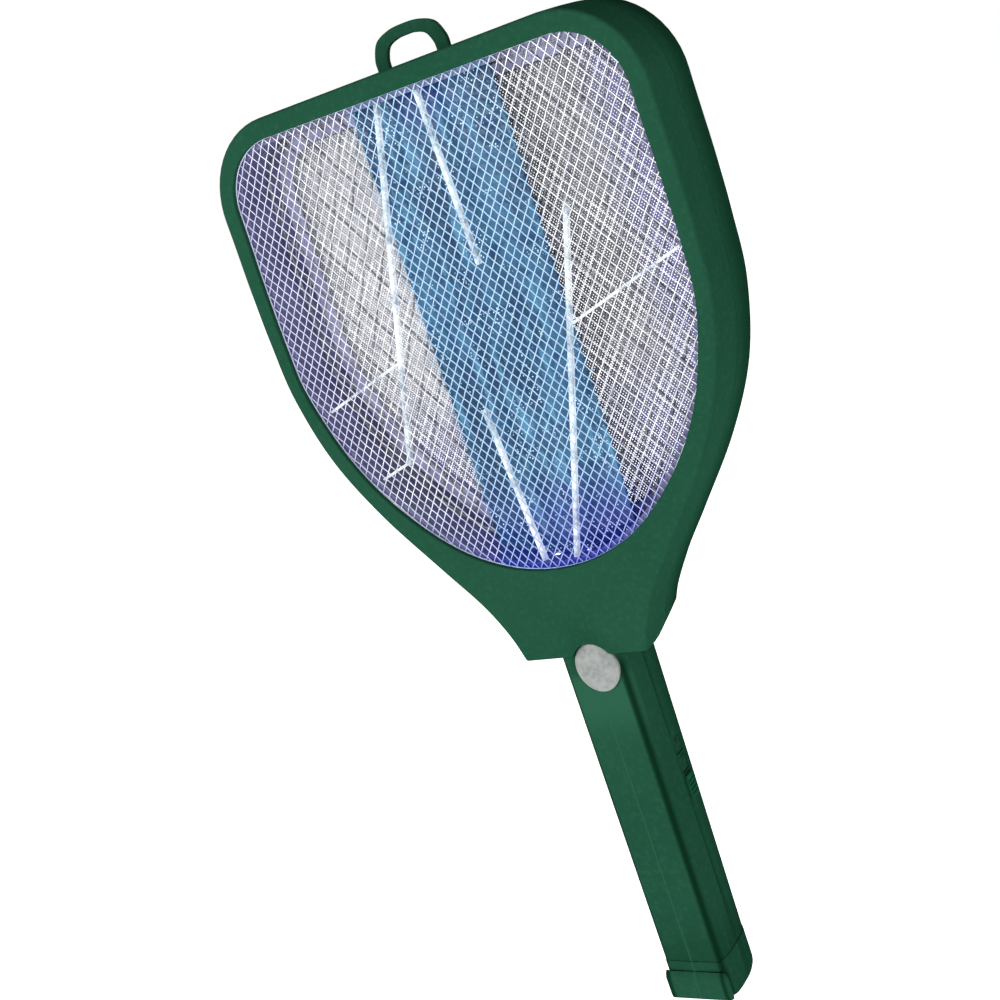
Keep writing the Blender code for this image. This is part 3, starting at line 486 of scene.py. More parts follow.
def speckled(name, low, high, roughness, scale=300, specular=0.4):
    """Small parts: two close tones in fine speckles, with a light grain."""
    shader = Shader(name, roughness, specular_ior_level=specular)
    speck = shader.noise(scale, 3)
    shader.feed("Base Color", shader.mix(shader.between(speck, 0.35, 0.65), low, high))
    worn = shader.noise(scale / 2, 2)
    shader.feed("Roughness", shader.between(worn, 0.3, 0.7, (roughness - 0.05, roughness + 0.1)))
    shader.feed("Normal", shader.bump(speck, 0.25, 0.0001))
    return shader.material


def battery_wrap():
    """Shrink sleeve with a plain contrasting band round each end of the cell."""
    shader = Shader("battery_sleeve", 0.3)
    z = shader.axis("Z")
    tone = shader.mix(shader.between(z, 76 * MM, 76.5 * MM), (0.03, 0.2, 0.42), (0.55, 0.57, 0.6))
    wrinkles = shader.noise(180, 4, 0.6, shader.stretched((1, 1, 0.3)))
    tone = shader.mix(shader.between(wrinkles, 0.4, 0.7, (0, 0.3)), tone, (0.3, 0.45, 0.6))
    shader.feed("Base Color", tone)
    shader.feed("Normal", shader.bump(wrinkles, 0.3, 0.0002))
    return shader.material


MATERIALS = {
    "green_plastic": green_plastic(),
    "knob_plastic": knob_plastic(),
    "grey_plastic": grey_plastic(),
    "grid_metal": guard_wire(),
    "violet_plastic": violet_plastic(),
    "blue_acrylic": blue_acrylic(),
    "clear_plastic": clear_plastic(),
    "led_violet": led_lens(),
    "window_plastic": window_plastic(),
    "circuit_board": circuit_board(),
    "black_plastic": speckled("black_moulded_plastic", (0.014, 0.014, 0.015), (0.03, 0.03, 0.032), 0.5),
    "capacitor_film": speckled("capacitor_film_epoxy", (0.33, 0.04, 0.03), (0.5, 0.09, 0.06), 0.35),
    "capacitor_sleeve": speckled("capacitor_sleeve_film", (0.02, 0.035, 0.16), (0.04, 0.07, 0.25), 0.3),
    "ferrite": speckled("ferrite_core", (0.035, 0.035, 0.04), (0.09, 0.09, 0.1), 0.6, 700),
    "steel": metal("screw_steel", (0.42, 0.42, 0.43), (0.68, 0.68, 0.7), 0.32),
    "nickel": metal("prong_nickel", (0.55, 0.53, 0.47), (0.78, 0.76, 0.7), 0.25),
    "battery_wrap": battery_wrap(),
    "red_lead": speckled("red_lead_insulation", (0.36, 0.012, 0.012), (0.52, 0.03, 0.025), 0.4, 200),
    "black_lead": speckled("black_lead_insulation", (0.01, 0.01, 0.011), (0.025, 0.025, 0.027), 0.4, 200),
}
CHARGE_METAL = charge_wire()
SCREEN_METAL = rear_screen()


# Outlines

def scaled(points):
    return [Vector(point) * MM for point in points]


def clockwise(loop):
    """The loop turned, if need be, so that its inside is on the right."""
    turns = sum(a.x * b.y - b.x * a.y for a, b in zip(loop, loop[1:] + loop[:1]))
    return loop if turns < 0 else loop[::-1]


def flipped(points):
    """The points on the other side of the middle line, in the opposite order."""
    return [Vector((-point.x, point.y)) for point in reversed(points)]


def mirrored(half):
    """A closed loop from its right half, which starts and ends on the middle line or beside it."""
    return clockwise([*half, *(point for point in flipped(half) if abs(point.x) > 1e-6)])


def inset(loop, distance):
    """The clockwise loop moved inwards by the distance, with mitred corners."""
    moved = []
    for before, here, after in zip(loop[-1:] + loop, loop, loop[1:] + loop[:1]):
        along_in, along_out = (here - before).normalized(), (after - here).normalized()
        first = Vector((along_in.y, -along_in.x))
        second = Vector((along_out.y, -along_out.x))
        moved.append(here + (first + second) * distance / (1 + first.dot(second)))
    return moved


def smooth(points, steps, before, after):
    """Points along a Catmull-Rom curve through the given ones; before and after set its end tangents."""
    knots = [Vector(before), *points, Vector(after)]
    found = []
    for a, b, c, d in zip(knots, knots[1:], knots[2:], knots[3:]):
        for i in range(steps):
            t = i / steps
            bend, twist = 2 * a - 5 * b + 4 * c - d, 3 * (b - c) + d - a
            found.append((2 * b + (c - a) * t + bend * t**2 + twist * t**3) / 2)
    return [*found, knots[-2]]


def rounded(points, radius, steps):
    """The line without its ends, each of its inner corners turned into a short curve."""
    found = []
    for before, here, after in zip(points, points[1:], points[2:]):
        reach = min(radius, 0.45 * (before - here).length, 0.45 * (after - here).length)
        start = here + (before - here).normalized() * reach
        end = here + (after - here).normalized() * reach
        for i in range(steps + 1):
            t = i / steps
            found.append(start * (1 - t) ** 2 + here * 2 * t * (1 - t) + end * t**2)
    return found


def filleted(points, radius, steps=3):
    """An open line with each of its inner corners rounded."""
    return [points[0], *rounded(points, radius, steps), points[-1]]


def filleted_loop(points, radius, steps=3):
    """A closed loop with each corner rounded."""
    return rounded([points[-1], *points, points[0]], radius, steps)


def corner(centre, radius, steps=14):
    """The head's rounded corner, from its top to its side."""
    angles = [pi / 2 * (1 - i / steps) for i in range(steps)]
    return [Vector(centre) + radius * Vector((cos(angle), sin(angle))) for angle in angles]


def oval(centre, radii, count=72):
    angles = [tau * i / count for i in range(count)]
    points = [Vector(centre) + Vector((radii[0] * cos(a), radii[1] * sin(a))) for a in angles]
    return clockwise(points)


def head_outline():
    side = scaled(HEAD_SIDE)
    run = smooth(side, 8, side[0] + Vector((0, 50 * MM)), side[-1] + Vector((-4 * MM, -14 * MM)))
    foot = [run[-1], run[-1] - Vector((4 * MM, 0))]
    turn = filleted([run[-3], *foot], 2.4 * MM, 4)
    half = corner(CORNER_CENTRE, CORNER_RADIUS) + run[:-2] + turn[1:-1]
    return inset(mirrored(half), OUTLINE_SAFETY)


def opening_outline():
    side = scaled(OPENING_SIDE)
    run = smooth(side, 8, side[0] + Vector((0, 50 * MM)), (-side[-2].x, side[-2].y))
    return mirrored(corner(OPENING_CENTRE, OPENING_RADIUS) + run)


HEAD = head_outline()
OPENING = opening_outline()
HOLLOW = mirrored(scaled(HOLLOW_SECTION))


# Mesh building

class Builder:
    """Collects rings of points and the faces between them."""

    def __init__(self):
        self.verts, self.faces, self.fills = [], [], []

    def ring(self, points):
        start = len(self.verts)
        self.verts.extend(tuple(point) for point in points)
        return list(range(start, len(self.verts)))

    def band(self, first, second, closed=True):
        count = len(first)
        for i in range(count if closed else count - 1):
            j = (i + 1) % count
            self.faces.append((first[i], first[j], second[j], second[i]))

    def loft(self, rings, capped=False):
        made = [self.ring(points) for points in rings]
        for first, second in zip(made, made[1:]):
            self.band(first, second)
        if capped:
            self.faces.append(tuple(made[0]))
            self.faces.append(tuple(made[-1]))
        return made

    def fill(self, *rings):
        """A flat face between loops that need not have the same number of points."""
        self.fills.append(rings)

    def mesh(self, name):
        work = bmesh.new()
        points = [work.verts.new(place) for place in self.verts]
        for face in self.faces:
            work.faces.new([points[i] for i in face])
        for rings in self.fills:
            edges = []
            for ring in rings:
                for i, j in zip(ring, ring[1:] + ring[:1]):
                    ends = (points[i], points[j])
                    edges.append(work.edges.get(ends) or work.edges.new(ends))
            bmesh.ops.triangle_fill(work, edges=edges, use_beauty=True)
        bmesh.ops.remove_doubles(work, verts=work.verts, dist=1e-7)
        bmesh.ops.recalc_face_normals(work, faces=work.faces)
        made = bpy.data.meshes.new(name)
        work.to_mesh(made)
        work.free()
        return made


def shade(mesh, sharp_degrees=38):
    """Smooth faces, apart from the edges that turn more than this."""
    work = bmesh.new()
    work.from_mesh(mesh)
    limit = radians(sharp_degrees)
    for face in work.faces:
        face.smooth = True
    for edge in work.edges:
        edge.smooth = len(edge.link_faces) == 2 and edge.calc_face_angle(0) < limit
    work.to_mesh(mesh)
    work.free()


def baked(piece):
    """The piece with its modifiers applied."""
    bpy.context.view_layer.update()
    graph = bpy.context.evaluated_depsgraph_get()
    mesh = bpy.data.meshes.new_from_object(piece.evaluated_get(graph))
    piece.modifiers.clear()
    old, piece.data = piece.data, mesh
    mesh.name = old.name
    bpy.data.meshes.remove(old)


def carve(piece, cutters):
    for cutter in cutters:
        change = piece.modifiers.new("cut", "BOOLEAN")
        change.object = cutter
        change.solver = "EXACT"
    baked(piece)
    for cutter in cutters:
        data = cutter.data
        bpy.data.objects.remove(cutter)
        bpy.data.meshes.remove(data)


def merged(piece, other):
    """Adds the other object's mesh to the piece and removes the object."""
    work = bmesh.new()
    work.from_mesh(piece.data)
    work.from_mesh(other.data)
    work.to_mesh(piece.data)
    work.free()
    bpy.data.objects.remove(other)


def loose(name, builder):
    """An object that isn't a finished piece yet."""
    piece = bpy.data.objects.new(name, builder.mesh(name))
    bpy.context.scene.collection.objects.link(piece)
    return piece


def solid(name, rings):
    """An object skinned over the rings, with both ends closed."""
    builder = Builder()
    builder.loft(rings, capped=True)
    return loose(name, builder)


def finished(piece, slot, body, replaced=(), material=None, even=True, sharp_degrees=38):
    """Shades a piece, gives it its material, and says what it rides on and stands for."""
    shade(piece.data, sharp_degrees)
    piece.data.materials.clear()
    piece.data.materials.append(material or MATERIALS[slot])
    if even:
        normals = piece.modifiers.new("normals", "WEIGHTED_NORMAL")
        normals.keep_sharp = True
    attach(piece, body)
    if replaced:
        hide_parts(*replaced)
    return piece


def at_depth(loop, y):
    return [(point.x, y, point.y) for point in loop]


def at_height(loop, z):
    return [(point.x, point.y, z) for point in loop]


def prism(name, loop, front, back):
    return solid(name, [at_depth(loop, front), at_depth(loop, back)])


def block(name, low, high):
    corners = [(low[0], low[2]), (low[0], high[2]), (high[0], high[2]), (high[0], low[2])]
    return prism(name, [Vector(place) for place in corners], low[1], high[1])


def arc(steps):
    """Pairs of (1 - cos, sin) through a quarter turn, for fillets."""
    angles = [pi / 2 * i / steps for i in range(steps + 1)]
    return [(1 - cos(angle), sin(angle)) for angle in angles]


# Head shells

def shell(name, face_y, seam_y, opening):
    """One half of the head: a crowned side wall, a filleted rim, a flat face and its opening."""
    way = 1 if face_y > seam_y else -1
    depth = abs(face_y - seam_y)
    straight = depth - RIM_FILLET
    builder = Builder()
    outer = [(SEAM_CHAMFER * 1.2, 0.0), (0.02 * MM, SEAM_CHAMFER)]
    for i in range(1, 6):
        share = i / 5
        outer.append((SIDE_CROWN * share**2, SEAM_CHAMFER + (straight - SEAM_CHAMFER) * share))
    flat_inset = SIDE_CROWN + RIM_FILLET * 0.85
    for away, rise in arc(8)[1:]:
        outer.append((SIDE_CROWN + (flat_inset - SIDE_CROWN) * away, straight + RIM_FILLET * rise))
    rings = builder.loft([at_depth(inset(HEAD, d), seam_y + way * y) for d, y in outer])
    edge = [(-OPENING_FILLET * (1 - rise), depth - OPENING_FILLET * away) for away, rise in arc(4)]
    edge.append((0, depth - FACE))
    hole = builder.loft([at_depth(inset(opening, d), seam_y + way * y) for d, y in edge])
    inside = builder.loft([at_depth(inset(HEAD, WALL), seam_y + way * y) for y in (depth - FACE, 0)])
    builder.fill(rings[-1], hole[0])
    builder.fill(hole[-1], inside[0])
    builder.band(inside[-1], rings[0])
    builder.verts = [slanted(place) for place in builder.verts]
    return loose(name, builder)


def slanted(place):
    """Lifts the neck's foot towards the back; the lift fades out up the neck."""
    x, y, z = place
    lift = NECK_LIFT * min(1, max(0, (y - NECK_SLANT_START) / (HEAD_BACK - NECK_SLANT_START)))
    fade = min(1, max(0, 1 - (z - NECK_BOTTOM) / NECK_LIFT_REACH))
    return x, y, z + lift * fade**1.5


def make_front_shell():
    piece = shell("front_head_shell", HEAD_FRONT, FRONT_SEAM, OPENING)
    inside = HEAD_FRONT + FACE
    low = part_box("hanging_loop")[0].y
    notch = [radius + 0.6 * MM for radius in BUTTON_RADII]
    passage = block("passage", (-PASSAGE_X, inside, PASSAGE_LOW),
                    (PASSAGE_X, FRONT_SEAM + 1 * MM, 198 * MM))
    cutters = [passage, prism("notch", oval(BUTTON_CENTRE, notch), HEAD_FRONT - 1 * MM, inside + 1 * MM)]
    for side in (-1, 1):
        x = sorted((side * 12.6 * MM, side * 20.1 * MM))
        cutters.append(block("loop_notch", (LOOP_X + x[0], low - 0.3 * MM, HEAD_TOP - 3 * MM),
                             (LOOP_X + x[1], 4 * MM, HEAD_TOP + 1 * MM)))
    carve(piece, cutters)
    finished(piece, "green_plastic", "body", ["front_head_frame"])


def make_rear_shell():
    piece = shell("rear_head_shell", HEAD_BACK, REAR_SEAM, inset(OPENING, REAR_OPENING_INSET))
    inside = HEAD_BACK - FACE
    cutters = [block("passage", (-PASSAGE_X, REAR_SEAM - 1 * MM, PASSAGE_LOW),
                     (PASSAGE_X, inside, 206 * MM))]
    for side in (-1, 1):
        well = oval((side * NECK_SCREW[0], NECK_SCREW[1]), WELL_RADII, 40)
        cutters.append(prism("screw_well", well, HEAD_BACK - 2 * MM, HEAD_BACK + 1 * MM))
    carve(piece, cutters)
    finished(piece, "green_plastic", "body", ["rear_head_frame"])


def make_loop():
    """The hanging loop, a flat strap with rounded edges, swept from leg to leg."""
    low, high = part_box("hanging_loop")
    edges = []
    for points in (LOOP_OUTSIDE, LOOP_EYE):
        rise = scaled(points)
        after = Vector((-rise[-2].x, rise[-2].y))
        half = smooth(rise, 8, 2 * rise[0] - rise[1], after)
        whole = half + flipped(half[:-1])
        edges.append([point + Vector((LOOP_X, 0)) for point in whole])
    radius = 0.7 * MM
    builder = Builder()
    rings = []
    for outer, inner in zip(*edges):
        across = (inner - outer).normalized()
        half_ring = [(radius * (1 - rise), low.y + radius * away) for away, rise in arc(4)]
        half_ring += [(radius * away, high.y - radius * (1 - rise)) for away, rise in arc(4)]
        near = [(outer + across * (distance + OUTLINE_SAFETY), y) for distance, y in half_ring]
        far = [(inner - across * distance, y) for distance, y in reversed(half_ring)]
        rings.append([(place.x, y, place.y) for place, y in near + far])
    builder.loft(rings, capped=True)
    piece = loose("hanging_strap", builder)
    finished(piece, "green_plastic", "body", ["hanging_loop"])


# Inside the head

def ring_piece(name, outer, inner, low, high, chamfer):
    """A flat ring with chamfered edges, in the XZ plane."""
    builder = Builder()
    profile = [(chamfer, low), (0, low + chamfer), (0, high - chamfer), (chamfer, high)]
    outside = builder.loft([at_depth(inset(outer, d), y) for d, y in profile])
    inside = builder.loft([at_depth(inset(inner, -d), y) for d, y in profile])
    builder.band(outside[0], inside[0])
    builder.band(outside[-1], inside[-1])
    return builder


def make_carrier():
    """The deep ring between the grids, with a lip behind that closes the step to the rear opening."""
    low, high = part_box("grid_carrier")[0].y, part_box("grid_carrier")[1].y
    outside = inset(OPENING, -1.3 * MM)
    lip = inset(OPENING, REAR_OPENING_INSET - 0.6 * MM)
    wall = inset(OPENING, 0.8 * MM)
    flange = inset(OPENING, 2.6 * MM)
    rings = [(outside, high), (outside, low), (flange, low), (flange, low + 0.7 * MM),
             (wall, low + 1.3 * MM), (wall, high - 1.6 * MM), (lip, high - 0.9 * MM), (lip, high)]
    builder = Builder()
    made = builder.loft([at_depth(loop, y) for loop, y in rings])
    builder.band(made[-1], made[0])
    piece = loose("grid_ring", builder)
    cutters = []
    for side in (-1, 1):
        centre = side * LED_X
        cutters.append(block("led_slot", (centre - 2.8 * MM, -4.3 * MM, 236 * MM),
                             (centre + 2.8 * MM, 1.3 * MM, 243 * MM)))
    carve(piece, cutters)
    finished(piece, "violet_plastic", "body", ["grid_carrier"])


def chord(loop, point, along):
    """Where a straight line crosses a convex loop, as distances along the line from the point."""
    across = Vector((-along.y, along.x))
    found = []
    for a, b in zip(loop, loop[1:] + loop[:1]):
        side_a, side_b = (a - point).dot(across), (b - point).dot(across)
        if (side_a < 0) != (side_b < 0):
            found.append(((a + (b - a) * side_a / (side_a - side_b)) - point).dot(along))
    return sorted(found)


def strand(builder, points, across, radius, sides=6):
    """A round wire through the points, which run nearly straight in the XZ plane."""
    rings = []
    for place in points:
        ring = []
        for i in range(sides):
            angle = tau * i / sides
            shift = across * cos(angle) * radius
            ring.append((place[0] + shift.x, place[1] + sin(angle) * radius, place[2] + shift.y))
        rings.append(ring)
    builder.loft(rings, capped=True)


def weave(builder, loop, depth, angles, pitch, radius, wave):
    """Two crossing sets of wires, each going over and under the other."""
    sets = []
    for angle in angles:
        along = Vector((cos(radians(angle)), sin(radians(angle))))
        sets.append((along, Vector((-along.y, along.x))))
    count = int(GRID_REACH / pitch)
    for number, (along, across) in enumerate(sets):
        other = sets[1 - number][1]
        rate = other.dot(along)
        for i in range(-count, count + 1):
            origin = GRID_CENTRE + across * pitch * i
            ends = chord(loop, origin, along)
            if len(ends) != 2 or ends[1] - ends[0] < 2 * pitch:
                continue
            shift = other.dot(across) * pitch * i
            crossings = sorted(((pitch * k - shift) / rate, k) for k in range(-2 * count, 2 * count + 1))
            line = [(ends[0], 0.0)]
            for t, k in crossings:
                if ends[0] + radius < t < ends[1] - radius:
                    side = -1 if (i + k + number) % 2 else 1
                    line.append((t, side * wave))
            line.append((ends[1], 0.0))
            points = []
            for t, lift in line:
                place = origin + along * t
                points.append((place.x, depth + lift, place.y))
            strand(builder, points, across, radius)


def make_grid(node, rim_out, rim_in, angles, pitch, radius, material):
    low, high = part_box(node)
    depth = (low.y + high.y) / 2
    builder = ring_piece(node, inset(OPENING, -rim_out), inset(OPENING, rim_in), depth - BAND_HALF,
                         depth + BAND_HALF, 0.2 * MM)
    middle = inset(OPENING, (rim_in - rim_out) / 2)
    weave(builder, middle, depth, angles, pitch, radius, 0.8 * radius)
    piece = loose(f"woven_{node}", builder)
    finished(piece, "grid_metal", "body", [node], material, even=False, sharp_degrees=70)


def make_screen(node):
    """The rear guard: a fine screen of two welded layers of flat wires in a rim band."""
    low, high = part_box(node)
    depth = (low.y + high.y) / 2
    builder = ring_piece(node, inset(OPENING, -BAND_OUT), inset(OPENING, BAND_IN), depth - BAND_HALF,
                         depth + BAND_HALF, 0.2 * MM)
    middle = inset(OPENING, (BAND_IN - BAND_OUT) / 2)
    for angle, layer in zip(SCREEN_ANGLES, (-1, 1)):
        along = Vector((cos(radians(angle)), sin(radians(angle))))
        across = Vector((-along.y, along.x))
        count = int(GRID_REACH / SCREEN_PITCH)
        for i in range(-count, count + 1):
            origin = GRID_CENTRE + across * SCREEN_PITCH * i
            ends = chord(middle, origin, along)
            if len(ends) != 2:
                continue
            rings = []
            for t in ends:
                place = origin + along * t
                ring = []
                for wide, deep in ((-1, 0), (0, -1), (1, 0), (0, 1)):
                    shift = across * wide * SCREEN_WIRE
                    y = depth + (layer * 0.17 + deep * 0.18) * MM
                    ring.append((place.x + shift.x, y, place.y + shift.y))
                rings.append(ring)
            builder.loft(rings, capped=True)
    piece = loose(f"screen_{node}", builder)
    finished(piece, "grid_metal", "body", [node], SCREEN_METAL, even=False, sharp_degrees=70)


def clipped(loop, low, high):
    """The part of a loop between two values of x."""
    for limit, sign in ((low, 1), (high, -1)):
        kept = []
        for a, b in zip(loop, loop[1:] + loop[:1]):
            in_a, in_b = sign * (a.x - limit) >= 0, sign * (b.x - limit) >= 0
            if in_a:
                kept.append(a)
            if in_a != in_b:
                kept.append(a + (b - a) * (limit - a.x) / (b.x - a.x))
        loop = kept
    return loop


def make_panel():
    """The lure panel, a plate with chamfered edges."""
    low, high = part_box("lure_light_panel")
    inside = inset(OPENING, 1.2 * MM)
    outline = clipped(inside, low.x + 0.1 * MM, high.x - 0.1 * MM)
    builder = Builder()
    chamfer = 0.3 * MM
    profile = [(chamfer, low.y), (0, low.y + chamfer), (0, high.y - chamfer), (chamfer, high.y)]
    builder.loft([at_depth(inset(outline, d), y) for d, y in profile], capped=True)
    piece = loose("lure_panel", builder)
    finished(piece, "blue_acrylic", "body", ["lure_light_panel"])


def make_rib(node, runs):
    """Straight clear bars with chamfered edges, ended just inside the ring."""
    low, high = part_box(node)
    inside = inset(OPENING, 1.2 * MM)
    builder = Builder()
    for i, (start, end) in enumerate(scaled(pair) for pair in runs):
        along = (end - start).normalized()
        ends = chord(inside, start, along)
        if ends:
            first, last = max(0.0, ends[0]), min((end - start).length, ends[1])
        else:
            first, last = 0.0, (end - start).length
        across = Vector((-along.y, along.x)) * (BRANCH_WIDTH if i else RIB_WIDTH) / 2
        shrink = 0.15 * MM * i
        front, back = low.y + shrink, high.y - shrink
        chamfer = 0.3 * across.length
        side = 1 - chamfer / across.length
        section = [(-side, front), (side, front), (1, front + chamfer), (1, back - chamfer), (side, back),
                   (-side, back), (-1, back - chamfer), (-1, front + chamfer)]
        rings = []
        for t in (first, last):
            place = start + along * t
            rings.append([(place.x + across.x * s, y, place.y + across.y * s) for s, y in section])
        builder.loft(rings, capped=True)
    piece = loose(f"clear_{node}", builder)
    finished(piece, "clear_plastic", "body", [node])


def turned(builder, centre, profile, segments=40):
    """Rings round an axis along Z through the centre, from (radius, height) points."""
    rings = []
    for radius, height in profile:
        angles = [tau * i / segments for i in range(segments)]
        rings.append([(centre[0] + radius * cos(a), centre[1] + radius * sin(a), height) for a in angles])
    return builder.loft(rings, capped=True)


def make_leds():
    for node in ("uv_led_left", "uv_led_right"):
        low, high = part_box(node)
        centre = ((low.x + high.x) / 2, (low.y + high.y) / 2)
        radius = 2.5 * MM
        angles = [pi / 2 * i / 8 for i in range(8)]
        dome = [(radius * cos(a), high.z - radius + radius * sin(a)) for a in angles]
        profile = [(2.9 * MM, low.z), (2.9 * MM, low.z + 0.9 * MM), (radius, low.z + 1 * MM), *dome,
                   (0.1 * MM, high.z)]
        builder = Builder()
        turned(builder, centre, profile)
        finished(loose(f"lit_{node}", builder), "led_violet", "body", [node])


def make_screw(node):
    """A pan head with a cross recess, driven from the back."""
    low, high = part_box(node)
    x, z = (low.x + high.x) / 2, (low.z + high.z) / 2
    head = 2.6 * MM
    builder = Builder()
    profile = [(0.9 * MM, low.y), (1.05 * MM, low.y + 0.6 * MM), (1.05 * MM, high.y - 1.5 * MM),
               (head, high.y - 1.5 * MM), (head, high.y - 0.9 * MM), (head * 0.88, high.y - 0.35 * MM),
               (head * 0.6, high.y - 0.05 * MM), (0.2 * MM, high.y)]
    rings = []
    for radius, y in profile:
        angles = [tau * i / 40 for i in range(40)]
        rings.append([(x + radius * cos(a), y, z + radius * sin(a)) for a in angles])
    builder.loft(rings, capped=True)
    piece = loose(f"pan_{node}", builder)
    arm, half = 1.5 * MM, 0.3 * MM
    cutters = []
    for wide, tall in ((arm, half), (half, arm)):
        cutters.append(block("cross", (x - wide, high.y - 0.9 * MM, z - tall),
                             (x + wide, high.y + 1 * MM, z + tall)))
    carve(piece, cutters)
    finished(piece, "steel", "body", [node])


# Handle

def front_half():
    """The front half's outer line, from the left seam round to the right seam."""
    half = [*FRONT_RIDGE, *FRONT_PANEL, *GROOVE, *FLANK]
    half = filleted([*scaled(half), Vector((HANDLE_SIDE, -SEAM_HALF_GAP))], 0.7 * MM, 3)
    return flipped(half[1:]) + half


def rear_half(z):
    """The rear half's outer line at a height, from the right seam round to the left; it deepens upwards."""
    share = min(1, max(0, (z - HANDLE_LOW) / (REAR_FULL - HANDLE_LOW)))
    flank = [low.lerp(high, share) for low, high in zip(scaled(REAR_BOTTOM), scaled(REAR_TOP))]
    half = filleted([Vector((HANDLE_SIDE, SEAM_HALF_GAP)), *flank], 2.5 * MM, 4)
    return half + flipped(half[:-1])


def hollow_half(front):
    """One half of the handle's inner line, from one seam round to the other."""
    seam = -SEAM_HALF_GAP if front else SEAM_HALF_GAP
    points = [p for p in scaled(HOLLOW_SECTION) if (p.y < 0) == front]
    cut_point = Vector((HOLLOW_SIDE, seam))
    half = [*points, cut_point] if front else [cut_point, *points]
    if front:
        return flipped(half[1:]) + half
    return half + flipped(half[:-1])


def spigot(builder, front):
    """The part of a handle half that the end cap slides over, with its end wall."""
    outside = inset(HOLLOW, -SPIGOT_OUT)
    seam = -SEAM_HALF_GAP if front else SEAM_HALF_GAP
    kept = [p for p in outside if (p.y < 0) == front]
    reach = max(p.x for p in kept)
    ends = [Vector((reach, seam)), Vector((-reach, seam))]
    right = sorted((p for p in kept if p.x > 1e-6), key=lambda p: abs(p.y))
    left = sorted((p for p in kept if p.x < -1e-6), key=lambda p: -abs(p.y))
    middle = [p for p in kept if abs(p.x) <= 1e-6]
    loop = clockwise([ends[0], *right, *middle, *left, ends[1]])
    profile = [(0.5 * MM, SPIGOT_LOW), (0, SPIGOT_LOW + 0.5 * MM), (0, HANDLE_LOW + 1 * MM)]
    builder.loft([at_height(inset(loop, d), z) for d, z in profile], capped=True)


def handle_half(name, front):
    """One half of the handle as a trough."""
    inner = hollow_half(front)
    heights = [HANDLE_LOW, 60 * MM, 100 * MM, 140 * MM, REAR_FULL, HANDLE_TOP]
    builder = Builder()
    rings = []
    for z in heights:
        outer = front_half() if front else rear_half(z)
        rings.append(at_height([*outer, *reversed(inner)], z))
    made = builder.loft(rings)
    builder.fill(made[0])
    builder.fill(made[-1])
    return loose(name, builder)


def add_spigot(piece, front):
    """Adds the spigot, slotted for the charging prongs, to a handle half."""
    builder = Builder()
    spigot(builder, front)
    other = loose("spigot", builder)
    slots = []
    for side in (-1, 1):
        x = side * PRONG_X
        slots.append(block("prong_slot", (x - 1.1 * MM, -3.5 * MM, SPIGOT_LOW - 1 * MM),
                           (x + 1.1 * MM, 3.5 * MM, 30 * MM)))
    carve(other, slots)
    merged(piece, other)


def make_handle_front():
    piece = handle_half("handle_front", True)
    hole = [radius + 0.3 * MM for radius in BUTTON_RADII]
    carve(piece, [prism("button_hole", oval(BUTTON_CENTRE, hole), -22 * MM, -12 * MM)])
    add_spigot(piece, True)
    finished(piece, "green_plastic", "body", ["handle_front_shell"])


def make_handle_rear():
    piece = handle_half("handle_rear", False)
    cutters = []
    inner, outer = 14 * MM, 21 * MM
    for z in WINDOWS.values():
        half_y, half_z = (size + 0.3 * MM for size in WINDOW_HALF)
        cutters.append(block("window_hole", (inner, SWITCH_Y - half_y, z - half_z),
                             (outer, SWITCH_Y + half_y, z + half_z)))
    middle = (KNOB_LOW + KNOB_HIGH) / 2
    cutters.append(block("switch_slot", (inner, SWITCH_Y - 1.6 * MM, middle - 1.7 * MM),
                         (outer, SWITCH_Y + 1.6 * MM, middle + 1.7 * MM + SWITCH_TRAVEL)))
    for z in SCREW_HEIGHTS.values():
        cutters.append(prism("screw_well", oval((0, z), WELL_RADII, 40), 15.1 * MM, 19.5 * MM))
    carve(piece, cutters)
    add_spigot(piece, False)
    finished(piece, "green_plastic", "body", ["handle_rear_shell"])


def underside(rise):
    """A cutter below the cap's rounded underside, raised by the rise."""
    curve = filleted(scaled([(-30, 0), *CAP_UNDERSIDE, (30, 15.6)]), 5 * MM, 5)
    loop = [*curve, Vector((30, -10)) * MM, Vector((-30, -10)) * MM]
    loop = clockwise([point + Vector((-0.7 * rise, rise)) for point in loop])
    return solid("underside", [[(x, p.x, p.y) for p in loop] for x in (-30 * MM, 30 * MM)])


def make_end_cap():
    """The pull-off cap: a cup in the handle's grooved outline, rounded behind, with a foot at its front."""
    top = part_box("end_cap")[1].z
    outline = clockwise([*front_half(), *rear_half(HANDLE_LOW)])
    outline = inset(outline, -0.3 * MM)
    builder = Builder()
    rings = [(0, -1 * MM), (0, top - 0.2 * MM), (0.2 * MM, top)]
    builder.loft([at_height(inset(outline, d), z) for d, z in rings], capped=True)
    piece = loose("pull_off_cap", builder)
    inner = inset(HOLLOW, -0.9 * MM)
    builder = Builder()
    builder.loft([at_height(inner, z) for z in (CAP_FLOOR, top + 1 * MM)], capped=True)
    hollow = loose("cap_hollow", builder)
    carve(hollow, [underside(CAP_FLOOR)])
    carve(piece, [underside(0), hollow])
    low = clockwise(filleted_loop(scaled(CAP_FOOT), 1.2 * MM))
    profile = [(0.5 * MM, 0), (0.15 * MM, 0.35 * MM), (0, 3 * MM), (0, 11.5 * MM), (0.6 * MM, 14 * MM),
               (1.5 * MM, 15.6 * MM)]
    builder = Builder()
    builder.loft([at_height(inset(low, d), z) for d, z in profile], capped=True)
    merged(piece, loose("foot", builder))
    finished(piece, "green_plastic", "end_cap", ["end_cap"])


